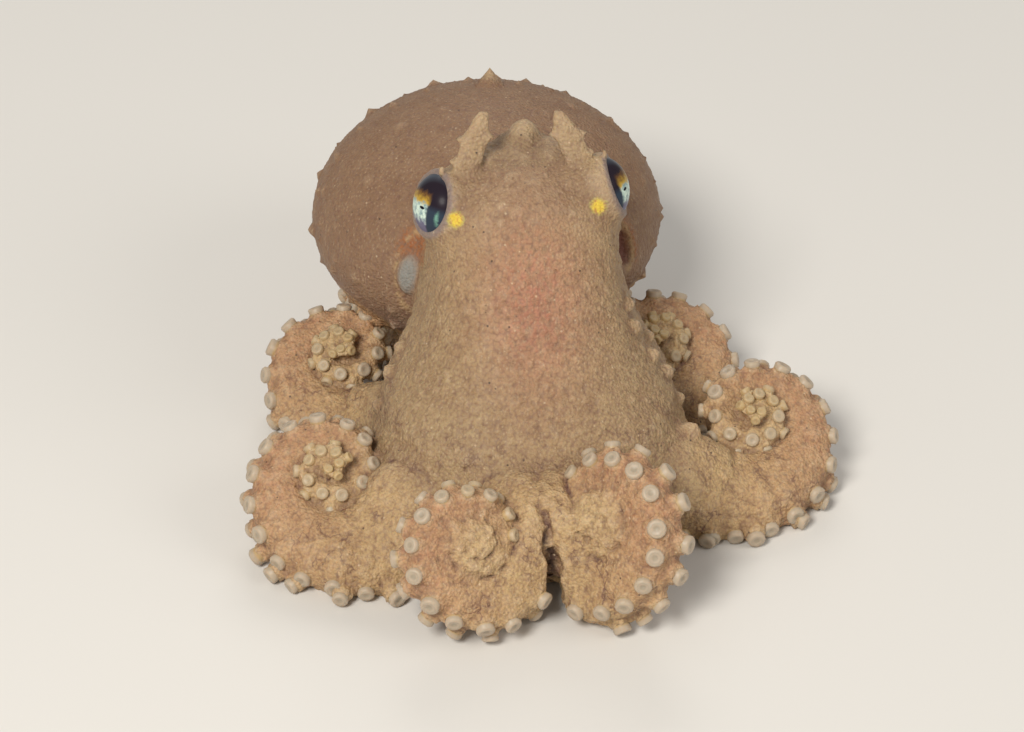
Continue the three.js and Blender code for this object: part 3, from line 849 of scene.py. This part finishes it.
points, normals = points_of(skin), normals_of(skin)
x, y, z = points.T
near = survey(points)
skin_tree = KDTree(len(points))
for i, place in enumerate(points):
    skin_tree.insert(place, i)
skin_tree.balance()
raised = points.copy()
on_mantle = (near["mantle"] < 0.8) & (near["head"] > 1) & (near["crown"] > 1)
on_mantle &= (z > 5) & (from_openings(points) > 5)
on_crown = (near["crown"] < 0.8) & (near["mantle"] > 1.5) & (near["arm"] > 0.5) & (z > 3)
on_brow = (near["head"] < 1.2) & (z > 28.5) & (np.abs(x - 0.8) < 4.5)
facing = normals @ np.array((0, -0.8, 0.6))
BUMPS = (
    # where, how far apart at least, radius, height, sharpness
    (on_mantle & (facing < 0.3), 3.1, 0.8, 0.55, 1.0),
    (on_mantle & (facing > 0.3), 3.3, 0.7, 0.26, 1.0),
    (on_brow, 1.5, 0.45, 0.25, 0.8),
    (on_crown, 3.2, 0.4, 0.2, 0.8),
)
for wanted, spacing, radius, height, sharpness in BUMPS:
    raise_bumps(scatter(points, wanted, spacing), radius, height, sharpness)

KNOBS = (
    # soft lumps along the edges of the neck and crown
    (10.2, 6.4, 19.3), (9.9, 5.1, 17.6), (11.9, 6.9, 15.1), (11.9, 4.2, 14.9), (13.3, 4.3, 12.8),
    (14.5, 3.3, 10.3), (14.7, -0.8, 9.4), (-11.5, 9.0, 14.3), (-12.6, 7.5, 12.7), (-14.0, 6.6, 9.6),
)
KNOB_HEIGHT = 0.8  # as a share of its radius
for knob in KNOBS:
    nearest = skin_tree.find(knob)[1]
    radius = RNG.uniform(0.8, 1.2)
    for _, j, away in skin_tree.find_range(points[nearest], radius):
        raised[j] += normals[nearest] * KNOB_HEIGHT * radius * (1 - (away / radius) ** 2)

# One papilla on top of the mantle is larger than the rest.
MANTLE_SPIKE = (0.4, 37.3, 25.6)
nearest = skin_tree.find(MANTLE_SPIKE)[1]
raise_bumps([nearest], radius=1.6, height=1.7, sharpness=1.3, sizes=(1, 1))

BROW_HOLLOWS = (on_head(-2.9, 1.6, 7.4), on_head(2.9, 1.8, 7.4))
BROW_HOLLOW_DEPTH = 0.06
CREASE_DEPTH = 0.35
SLIT_DEPTH = 1.2
for place in BROW_HOLLOWS:
    raised -= normals * (BROW_HOLLOW_DEPTH * fade(distance(points, place), 0.4, 1.8))[:, None]

# Creases between neighbouring windings and arms, drawn-up wrinkles, pebbles and granules. The skin
# stays calm round the eyes.
calm = np.ones(len(points))
for centre, *_ in eyes.values():
    calm *= fade(distance(points, centre), 4.2, 3.7)
calm *= fade(distance(points, FUNNEL_PLACE), 2.8, 2.2)
on_arm = by("arm", 1.6, 2.4) * by("crown", 2.4, 0.2)
low_crown = 0.5 * by("crown", 0.2, 1.0) * fade(z, 9, 14)
wrinkled = by("crown", 0.2, 1.0) * fade(z, 8, 4)
wrinkled = np.clip(wrinkled + 0.35 * by("head", 0.6, 1.4), 0, 1)
coarse = np.clip(on_arm + low_crown, 0, 1) * (1 - 0.5 * cores)
relief = 0.2 * np.array([noise.noise(place) for place in points * 0.4]) * coarse
PEBBLES = (
    # the grain's places, its height, the level that stays where it was, and its share
    (points * (1.5, 1.5, 0.45), 0.17, 0.7, wrinkled),
    (points + 3.3, 0.15, 0.7, coarse),
    (points * 1.3 + 7.7, 0.12, 0.7, on_arm * (1 - 0.5 * cores)),
    (points * 1.7, 0.08, 0.7, 1),
    (points * 0.8 + 1.1, 0.34, 0.6, cores),
)
for places, height, level, share in PEBBLES:
    relief += height * (pebbles(places) - level) * share
relief -= CREASE_DEPTH * near["crease"]
relief -= SLIT_DEPTH * slit_share(points) * fade(z, 6, 10.5)
raised += normals * (relief * calm)[:, None]
reshape(skin, lambda _: above_floor(raised))


def cover_eyes(points):
    """Keeps the skin clear of the eyes everywhere behind the edge of the lids."""
    for centre, turn, lid_looks, lid_out in eyes.values():
        offset = points - centre
        size = np.linalg.norm(offset @ np.array(turn) / EYE_HALF, axis=1)
        behind = (size < 1.07) & (size > 0.7) & (offset @ lid_looks < lid_out - 0.12)
        points[behind] = centre + offset[behind] * (1.07 / size[behind])[:, None]
    return points


reshape(skin, cover_eyes)
apply_modifier(skin, "DECIMATE", ratio=min(1.0, SKIN_FACES / (2 * len(skin.data.polygons))))
reshape(skin, above_floor)
bpy.ops.object.select_all(action="DESELECT")
skin.select_set(True)
bpy.ops.object.shade_smooth()


# Where each colour lies, kept on the skin as one number for each point.
points, normals = points_of(skin), normals_of(skin)
x, y, z = points.T
near = survey(points)


def keep_numbers(piece, name, values):
    """Keeps one number for each point of a piece, for its material to read."""
    layer = piece.data.attributes.new(name, "FLOAT", "POINT")
    layer.data.foreach_set("value", values.astype(np.float32))


def keep_mask(name, values):
    keep_numbers(skin, name, np.clip(values, 0, 1))


def neighbour_mean(values, rounds=1):
    """Each value averaged with its neighbours' along the edges."""
    ends = np.empty(len(skin.data.edges) * 2, dtype=np.int32)
    skin.data.edges.foreach_get("vertices", ends)
    a, b = ends.reshape(-1, 2).T
    count = np.bincount(ends, minlength=len(values)).astype(float)
    for _ in range(rounds):
        total = np.bincount(a, values[b], len(values)) + np.bincount(b, values[a], len(values))
        values = total / np.maximum(count, 1)
    return values


# How far each point lies sunk below its neighbours: the hollows get painted shade, and the places that
# stand proud get a painted highlight.
mean_place = np.stack([neighbour_mean(points[:, k], 2) for k in range(3)], axis=1)
hollow = ((mean_place - points) * normals).sum(axis=1)
arm_share = by("arm", 1.8, 2.8) * by("crown", 2.8, 0.0)
mantle_share = by("mantle", 0.4, 1.4) * by("crown", 1.0, 0.2)
mantle_share *= by("head", 1.6, 0.4)
keep_mask("mantle_share", mantle_share)
keep_mask("arm_share", arm_share)
smooth_places = np.maximum(mantle_share, by("head", 1.2, 2.4))
keep_mask("hollow", neighbour_mean(hollow, 1) / 0.05 * (1 - 0.75 * smooth_places))
keep_mask("proud_highlight", neighbour_mean(-hollow, 1) / 0.06 * (1 - 0.5 * mantle_share))
# painted shade in the creases between windings and at the arms' roots
keep_mask("crease", near["crease"])
# painted shade down the slit between the two front arms
keep_mask("slit", slit_share(points) * fade(z, 8.8, 9.6))
cracked_crown = 0.8 * fade(z, 12, 16) * by("crown", 0.5, 1.5)
keep_mask("cracked", np.maximum(arm_share * by("turned", 0.1, 0.4), cracked_crown))
flush = np.exp(-(((x - 0.4) / 4.8) ** 2 + ((z - 23.0) / 6.6) ** 2)) * (y < 12)
coil_flush = arm_share * by("turned", 0.3, -0.05) * by("turned", 0.45, 1.05)
keep_mask("flush", np.maximum(flush, 0.6 * neighbour_mean(coil_flush, 12)))
keep_mask("lilac", mantle_share * fade(z, 6.0, 15.0))
keep_mask("brow", by("head", 1.2, 2.4) * fade(z, 31.5, 26.5))
keep_mask("pale_face", arm_share * by("toward_face", 1.25, 0.75))
keep_mask("inner_coil", neighbour_mean(arm_share * by("turned", 1.2, 0.7), 14))
rim, red, opening_shade, lid_edge = (np.zeros(len(points)) for _ in range(4))
for centre, turn, lid_looks, lid_out in eyes.values():
    offset = points - centre
    size = np.linalg.norm(offset @ np.array(turn) / EYE_HALF, axis=1)
    from_lids = np.abs(offset @ lid_looks - lid_out)
    lid_edge = np.maximum(lid_edge, fade(from_lids, 0.1, 0.4) * fade(size, 1.14, 1.24))
keep_mask("lid_edge", lid_edge)
# painted shade in the hollows beside the crest
brow_hollow_shade = np.min([distance(points, place) for place in BROW_HOLLOWS], axis=0)
keep_mask("brow_hollow_shade", fade(brow_hollow_shade, 0.4, 1.9))
for word, opening in OPENINGS.items():
    turn = np.array(opening_turn(opening["looks"]))
    local = (points - np.array(opening["place"])) @ turn
    width, height = opening["half"]
    ring = (np.hypot(local[:, 0] / width, local[:, 1] / height) - 1) * width
    shown = np.abs(local[:, 2]) < 1.6
    out = local[:, 0] * (1 if word == "left" else -1)
    rim = np.maximum(rim, fade(np.abs(ring - 0.1), 0.04, 0.2) * shown * fade(out, 0.0, -0.5))
    # painted shade inside the left opening, where one looks into the hollow
    opening_shade = np.maximum(opening_shade, fade(ring, -0.3, -0.1) * shown * (word == "left"))
    above = fade(local[:, 1], height * 0.6, height * 0.15) if word == "right" else fade(out, 1.3, 0.8)
    red = np.maximum(red, above * fade(ring, 0.2, 1.1) * shown * fade(np.abs(local[:, 1]), 3.6, 4.8))
keep_mask("rim", rim)
keep_mask("red", red)
keep_mask("opening_shade", opening_shade)
funnel_turn = np.array(opening_turn(OPENINGS["right"]["looks"]))
local = (points - np.array(FUNNEL_PLACE)) @ funnel_turn / (1.2, 2.0, 1.0)
keep_mask("funnel", fade(np.linalg.norm(local, axis=1), 0.85, 1.1))
GOLD_SPOTS = ((-6.15, 8.6, 28.64), (7.12, 8.6, 29.05))
spots = np.min([distance(points, spot) for spot in GOLD_SPOTS], axis=0)
keep_mask("gold_spot", fade(spots, 0.2, 1.45))


# Each of these adds to the node tree being made at the time, which is always called tree.
def feed(socket, value):
    """Links an input to another node's output, or sets it to a constant."""
    if isinstance(value, bpy.types.NodeSocket):
        tree.links.new(value, socket)
    else:
        socket.default_value = value


def put(kind, settings=(), **inputs):
    """Adds a shader node. An input is a value or another node's output; _ stands for a space."""
    made = tree.nodes.new("ShaderNode" + kind)
    for name, value in dict(settings).items():
        setattr(made, name, value)
    for name, value in inputs.items():
        feed(made.inputs[name.replace("_", " ")], value)
    return made


def blend(a, b, share, way="MIX"):
    """Colour a turned towards colour b, or towards their product, by a share."""
    made = put("Mix", {"data_type": "RGBA", "blend_type": way})
    for i, value in ((0, share), (6, a), (7, b)):
        feed(made.inputs[i], value)
    return made.outputs[2]


def maths(way, a, b=0.0, c=0.0):
    made = put("Math", {"operation": way})
    for socket, value in zip(made.inputs, (a, b, c)):
        feed(socket, value)
    return made.outputs[0]


def times(a, b):
    return maths("MULTIPLY", a, b)


def ramp(value, low, high):
    """0 at low and 1 at high, which may be the smaller of the two."""
    return put("MapRange", Value=value, From_Min=low, From_Max=high).outputs["Result"]


def mask(name):
    return put("Attribute", {"attribute_name": name}).outputs["Fac"]


def paint(colour, *coats):
    """A colour with coats laid over it: each is a colour, where it lies, and how strong it is there."""
    for other, share, strength, *way in coats:
        colour = blend(colour, other, times(share, strength), *way)
    return colour


def dots(where, scale, edge, core):
    """1 in the core of scattered dots and 0 beyond their edge, both as shares of their spacing."""
    return ramp(put("TexVoronoi", Vector=where, Scale=scale).outputs["Distance"], edge, core)


# Grain: the fine granules that cover all the skin, with painted shade in their shallow gaps. Scale is per
# metre.
tree = grain = bpy.data.node_groups.new("skin_grain", "ShaderNodeTree")
for name, kind in (("Place", "NodeSocketVector"), ("Scale", "NodeSocketFloat")):
    grain.interface.new_socket(name, in_out="INPUT", socket_type=kind)
for name in ("Height", "Gap_shade", "Mottle"):
    grain.interface.new_socket(name, in_out="OUTPUT", socket_type="NodeSocketFloat")
place, scale = grain.nodes.new("NodeGroupInput").outputs[:2]
cells = put("TexVoronoi", {"feature": "SMOOTH_F1"}, Vector=place, Scale=scale, Smoothness=0.4)
apart = cells.outputs["Distance"]
fine = put("TexNoise", Vector=place, Scale=times(scale, 0.8), Detail=5.0, Roughness=0.65).outputs["Fac"]
broad = put("TexNoise", Vector=place, Scale=times(scale, 0.12), Detail=4.0, Roughness=0.6).outputs["Fac"]
height = maths("ADD", times(maths("SUBTRACT", 1.0, apart), 0.6), times(fine, 0.6))
grain_out = grain.nodes.new("NodeGroupOutput").inputs
for name, value in (("Height", height), ("Gap_shade", ramp(apart, 0.45, 0.8)), ("Mottle", broad)):
    feed(grain_out[name], value)

TAN = (0.425, 0.298, 0.158, 1)
CREAM = (0.555, 0.385, 0.19, 1)
PALE_CREAM = (0.61, 0.44, 0.225, 1)
MANTLE_BROWN = (0.29, 0.176, 0.1, 1)
BROW_GREEN = (0.345, 0.238, 0.135, 1)
PINK = (0.53, 0.21, 0.14, 1)
LILAC = (0.27, 0.205, 0.18, 1)
MOTTLE_SHADE = (0.8, 0.74, 0.73, 1)  # multiplies the colour under it
# dark brown for streaks and flecks, and for the painted shade in hollows and in the gaps between granules
SHADE_AND_FLECK_BROWN = (0.19, 0.1, 0.075, 1)
# dark purple for the cracks, and for the painted shade in the creases between windings
SHADE_AND_CRACK_PURPLE = (0.1, 0.04, 0.04, 1)
# painted shade down the slit between the two front arms
SLIT_SHADE = (0.035, 0.016, 0.014, 1)
LID_VIOLET = (0.2, 0.16, 0.17, 1)
DARK_DOT = (0.05, 0.035, 0.03, 1)
# pale dots, and the painted highlight on places that stand proud
PALE_DOT_AND_HIGHLIGHT = (0.72, 0.56, 0.38, 1)
FUNNEL_BLUE = (0.27, 0.262, 0.24, 1)
RIM_CREAM = (0.46, 0.31, 0.16, 1)
OPENING_RED = (0.335, 0.12, 0.042, 1)
# painted shade in the hollows beside the crest and inside the left opening
HOLLOW_SHADE_BROWN = (0.16, 0.055, 0.035, 1)
SPOT_EDGE = (0.42, 0.42, 0.16, 1)
SPOT_GOLD = (0.76, 0.56, 0.07, 1)
SPOT_ORANGE = (0.7, 0.36, 0.05, 1)

tree, shader = new_finish(
    skin, "octopus_skin", Roughness=0.58, Specular_IOR_Level=0.35, Coat_Weight=0.06, Coat_Roughness=0.35,
    Subsurface_Weight=0.15, Subsurface_Radius=(1.0, 0.5, 0.3), Subsurface_Scale=0.0012,
)
place = put("TexCoord").outputs["Object"]
skin_grain = put("Group", {"node_tree": grain}, Place=place, Scale=3400.0).outputs
mottle = skin_grain["Mottle"]
streaks = put("Mapping", Vector=place, Scale=(1.0, 1.0, 0.2)).outputs[0]
streak_noise = put("TexNoise", Vector=streaks, Scale=2300.0, Detail=5.0).outputs["Fac"]

# Fine cracks between the arms' warts, wavering and broken.
warp = put("TexNoise", Vector=place, Scale=800.0, Detail=3.0).outputs["Color"]
crack_place = put("Mapping", Vector=place, Location=warp, Scale=(360.0, 360.0, 190.0)).outputs[0]
crack_cells = put("TexVoronoi", {"feature": "DISTANCE_TO_EDGE"}, Vector=crack_place, Scale=1.0)
cracks = times(ramp(crack_cells.outputs["Distance"], 0.05, 0.015), mask("cracked"))

# The two gold spots, with a grainy edge and orange flecks.
gold_spot = mask("gold_spot")
gold_noise = put("TexNoise", Vector=place, Scale=3600.0, Detail=4.0).outputs["Fac"]
gold = paint(
    SPOT_EDGE, (SPOT_GOLD, ramp(gold_spot, 0.25, 0.8), 1), (SPOT_ORANGE, ramp(gold_noise, 0.5, 0.36), 1)
)

colour = paint(
    TAN,
    (BROW_GREEN, mask("brow"), 1),
    (MANTLE_BROWN, mask("mantle_share"), 1),
    (LILAC, mask("lilac"), 0.8),
    (CREAM, mask("arm_share"), 1),
    (PALE_CREAM, mask("pale_face"), 0.7),
    (PALE_CREAM, mask("inner_coil"), 0.8),
    (PINK, mask("flush"), ramp(streak_noise, 0.1, 0.8)),
    (SHADE_AND_FLECK_BROWN, ramp(streak_noise, 0.46, 0.3), 0.4),
    (MOTTLE_SHADE, ramp(mottle, 0.3, 0.7), 1, "MULTIPLY"),
    # painted shade in the gaps between granules
    (SHADE_AND_FLECK_BROWN, skin_grain["Gap_shade"], 0.45),
    # painted shade in the hollows of the skin
    (SHADE_AND_FLECK_BROWN, mask("hollow"), 0.42),
    # painted highlight where the skin stands proud
    (PALE_DOT_AND_HIGHLIGHT, mask("proud_highlight"), 0.25),
    # painted shade in the creases between windings and at the arms' roots
    (SHADE_AND_CRACK_PURPLE, times(mask("crease"), ramp(mottle, 0.35, 0.6)), 0.85),
    (SHADE_AND_CRACK_PURPLE, times(cracks, ramp(mottle, 0.42, 0.6)), 0.6),
    # painted shade down the slit between the two front arms
    (SLIT_SHADE, mask("slit"), 0.9),
    # painted shade in the hollows beside the crest
    (HOLLOW_SHADE_BROWN, mask("brow_hollow_shade"), 0.06),
    (LID_VIOLET, mask("lid_edge"), 0.7),
    (DARK_DOT, dots(place, 560.0, 0.075, 0.04), 0.8),
    (SHADE_AND_FLECK_BROWN, times(dots(place, 2100.0, 0.26, 0.1), ramp(streak_noise, 0.6, 0.4)), 0.4),
    (PALE_DOT_AND_HIGHLIGHT, dots(streaks, 2700.0, 0.3, 0.1), 0.22),
    (PALE_DOT_AND_HIGHLIGHT, dots(place, 700.0, 0.09, 0.05), 0.5),
    # painted shade inside the left opening
    (HOLLOW_SHADE_BROWN, mask("opening_shade"), 1),
    (OPENING_RED, mask("red"), ramp(skin_grain["Height"], 0.35, 0.8)),
    (FUNNEL_BLUE, mask("funnel"), 1),
    (RIM_CREAM, mask("rim"), 0.8),
    (gold, ramp(maths("ADD", gold_spot, gold_noise), 0.8, 1.4), 1),
)
bump_height = maths("MULTIPLY_ADD", streak_noise, 0.5, skin_grain["Height"])
bumps = put("Bump", Height=bump_height, Strength=0.8, Distance=0.0003)
feed(shader.inputs["Base Color"], colour)
feed(shader.inputs["Normal"], bumps.outputs["Normal"])

flesh_nodes = [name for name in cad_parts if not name.startswith("eye_")]
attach(skin, "root")
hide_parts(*flesh_nodes)


# ---- Suckers: the cups of the two staggered rows along every arm ----
# Each is a soft, slightly translucent round cup with a thick rim, a ring inside and a deep middle, painted
# darker as shade.
# One cup is modelled at a diameter of 1 and copied onto the end of each stalk at its size.
cup_radii = {"radius1": 0.43, "radius2": 0.49}
add_cone = bpy.ops.mesh.primitive_cone_add
cup = primitive(add_cone, "cup", vertices=12, depth=0.5, location=(0, 0, -0.23), **cup_radii)
bpy.ops.object.mode_set(mode="EDIT")
bpy.ops.mesh.select_all(action="DESELECT")
bpy.ops.object.mode_set(mode="OBJECT")
for polygon in cup.data.polygons:
    polygon.select = polygon.normal.z > 0.9
bpy.ops.object.mode_set(mode="EDIT")
# each step: how far up, and the new radius over the last
for rise, widen in ((0.11, 0.82), (-0.01, 0.62), (-0.06, 0.45)):
    bpy.ops.mesh.extrude_region_move(TRANSFORM_OT_translate={"value": (0, 0, rise)})
    bpy.ops.transform.resize(value=(widen, widen, 1))
bpy.ops.object.mode_set(mode="OBJECT")
cup_points = np.array([v.co for v in cup.data.vertices])
cup_faces = [tuple(p.vertices) for p in cup.data.polygons if p.normal.z > -0.9]
bpy.data.objects.remove(cup)

sucker_points, sucker_faces, sucker_rise, sucker_ring, sucker_size = [], [], [], [], []
for name, placed in suckers.items():
    for _, _, size, root, direction, foot, shows in placed:
        if not shows:
            continue
        turn = np.array(Vector(direction + RNG.normal(0, 0.06, 3)).to_track_quat("Z", "Y").to_matrix())
        first = len(sucker_points) * len(cup_points)
        cup_here = root + direction * foot + cup_points * size @ turn.T
        sucker_points.append(np.maximum(cup_here, (-np.inf, -np.inf, 0.02)))
        sucker_faces += [tuple(first + i for i in face) for face in cup_faces]
        sucker_rise.append(cup_points[:, 2])
        sucker_ring.append(np.hypot(cup_points[:, 0], cup_points[:, 1]))
        sucker_size.append(np.full(len(cup_points), size / SUCKER_DIAMETER))

sucker_mesh = bpy.data.meshes.new("sucker_cups")
sucker_mesh.from_pydata((np.vstack(sucker_points) * MM).tolist(), [], sucker_faces)
sucker_cups = bpy.data.objects.new("sucker_cups", sucker_mesh)
bpy.context.collection.objects.link(sucker_cups)
for name, values in (("rise", sucker_rise), ("ring", sucker_ring), ("size", sucker_size)):
    keep_numbers(sucker_cups, name, np.concatenate(values))
bpy.ops.object.select_all(action="DESELECT")
bpy.context.view_layer.objects.active = sucker_cups
sucker_cups.select_set(True)
bpy.ops.object.shade_smooth()

CUP_FOOT = (0.5, 0.34, 0.16, 1)
CUP_SMALL = (0.48, 0.35, 0.18, 1)
CUP_LARGE = (0.46, 0.375, 0.28, 1)
CUP_RING = (0.33, 0.3, 0.24, 1)
# painted shade in the cup's sunken middle
CUP_MIDDLE_SHADE = (0.3, 0.26, 0.19, 1)
tree, shader = new_finish(
    sucker_cups, "sucker_flesh", Roughness=0.5, Coat_Weight=0.1, Coat_Roughness=0.3,
    Subsurface_Weight=0.35, Subsurface_Radius=(1.0, 0.7, 0.5), Subsurface_Scale=0.0012,
)
place = put("TexCoord").outputs["Object"]
cup_grain = put("Group", {"node_tree": grain}, Place=place, Scale=3500.0).outputs
rise, ring, size = mask("rise"), mask("ring"), mask("size")
glassy = blend(CUP_SMALL, CUP_LARGE, ramp(size, 0.6, 0.85))
from_ring = maths("ABSOLUTE", maths("SUBTRACT", ring, 0.3))
middle = times(ramp(ring, 0.2, 0.12), ramp(rise, 0.05, 0.1))
colour = paint(
    CUP_FOOT,
    (glassy, ramp(rise, -0.05, 0.1), 1),
    (CUP_RING, times(ramp(from_ring, 0.06, 0.02), ramp(rise, 0.1, 0.14)), 0.3),
    # painted shade in the cup's sunken middle
    (CUP_MIDDLE_SHADE, times(middle, ramp(size, 0.5, 0.9)), 0.45),
)
bumps = put("Bump", Height=cup_grain["Height"], Strength=0.3, Distance=0.0001)
feed(shader.inputs["Base Color"], colour)
feed(shader.inputs["Normal"], bumps.outputs["Normal"])
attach(sucker_cups, "root")


# ---- Eyes: glassy domes set in the lids ----
# A dark, wet dome of clear tissue. Under it lie a silvery iris with a gold band over it, and a small
# level slit for a pupil. Each eye fills its socket behind the edge of the lids.
GAZE = (0.6, -0.65, 0.46)
EYE_DARK = (0.022, 0.016, 0.024, 1)
EYE_SHEEN = (0.075, 0.09, 0.115, 1)
IRIS_TEAL = (0.24, 0.36, 0.38, 1)
IRIS_SILVER = (0.66, 0.8, 0.7, 1)
IRIS_VIOLET = (0.15, 0.14, 0.22, 1)
IRIS_GOLD = (0.5, 0.32, 0.05, 1)
IRIS_BROWN = (0.15, 0.075, 0.03, 1)
BAND_BLUE = (0.035, 0.05, 0.075, 1)
STREAK_GREEN = (0.2, 0.42, 0.33, 1)
PUPIL_BLACK = (0.004, 0.004, 0.01, 1)


def squared_share(value, middle, half):
    """How far a value is from a middle, in halves, squared."""
    return maths("POWER", maths("DIVIDE", maths("SUBTRACT", value, middle), half), 2.0)


for word, side in (("left", 1), ("right", -1)):
    centre, turn, *_ = eyes[word]
    sphere = bpy.ops.mesh.primitive_uv_sphere_add
    eye = primitive(sphere, "eye_" + word + "_globe", segments=96, ring_count=64, radius=MM)
    bpy.ops.transform.resize(value=EYE_HALF)
    bpy.ops.object.transform_apply(location=False, rotation=False, scale=True)
    eye.data.transform(Matrix.Translation(Vector(centre) * MM) @ turn.to_4x4())
    bpy.ops.object.shade_smooth()
    gaze = Vector((side * GAZE[0], GAZE[1], GAZE[2])).normalized()
    level = gaze.cross(Vector((0, 0, 1))).normalized() * -side  # towards the animal's side
    high = gaze.cross(Vector((0, 0, 1))).normalized().cross(gaze)
    local = (points_of(eye) - centre) / EYE_HALF[0]
    for name, way in (("across", level), ("up", high), ("out", gaze)):
        keep_numbers(eye, name, local @ np.array(way))

    tree, shader = new_finish(
        eye, "eye_glass_" + word,
        Roughness=0.3, Specular_IOR_Level=0.06, Coat_Weight=0.02, Coat_Roughness=0.12,
    )
    place = put("TexCoord").outputs["Object"]
    across, up, out = mask("across"), mask("up"), mask("out")
    flecks = put("TexNoise", Vector=place, Scale=2200.0, Detail=4.0, Roughness=0.6).outputs["Fac"]
    waver = times(maths("SUBTRACT", flecks, 0.5), 0.4)
    rise = maths("ADD", up, waver)
    side_on = maths("ADD", across, times(waver, 0.5))
    iris = paint(
        IRIS_TEAL,
        (IRIS_SILVER, ramp(flecks, 0.38, 0.6), 1),
        (IRIS_VIOLET, ramp(rise, -0.36, -0.55), 1),
        (IRIS_GOLD, ramp(rise, -0.02, 0.1), 1),
        (IRIS_BROWN, ramp(rise, 0.12, 0.3), 1),
    )
    from_streak = maths("ABSOLUTE", maths("ADD", side_on, 0.4))
    streak = times(ramp(from_streak, 0.09, 0.0), ramp(rise, 0.0, -0.2))
    slit = maths("ADD", squared_share(across, 0.16, 0.1), squared_share(up, -0.09, 0.045))
    colour = paint(
        EYE_DARK,
        (EYE_SHEEN, ramp(out, 0.66, 0.4), 1),
        (iris, ramp(side_on, -0.12, 0.0), ramp(rise, 0.44, 0.3)),
        (BAND_BLUE, ramp(across, -0.02, -0.08), ramp(up, 0.1, -0.1)),
        (STREAK_GREEN, times(streak, ramp(rise, -0.55, -0.3)), 0.9),
        (PUPIL_BLACK, ramp(slit, 1.2, 0.8), 1),
    )
    feed(shader.inputs["Base Color"], colour)
    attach(eye, "root")
    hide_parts("eye_" + word)
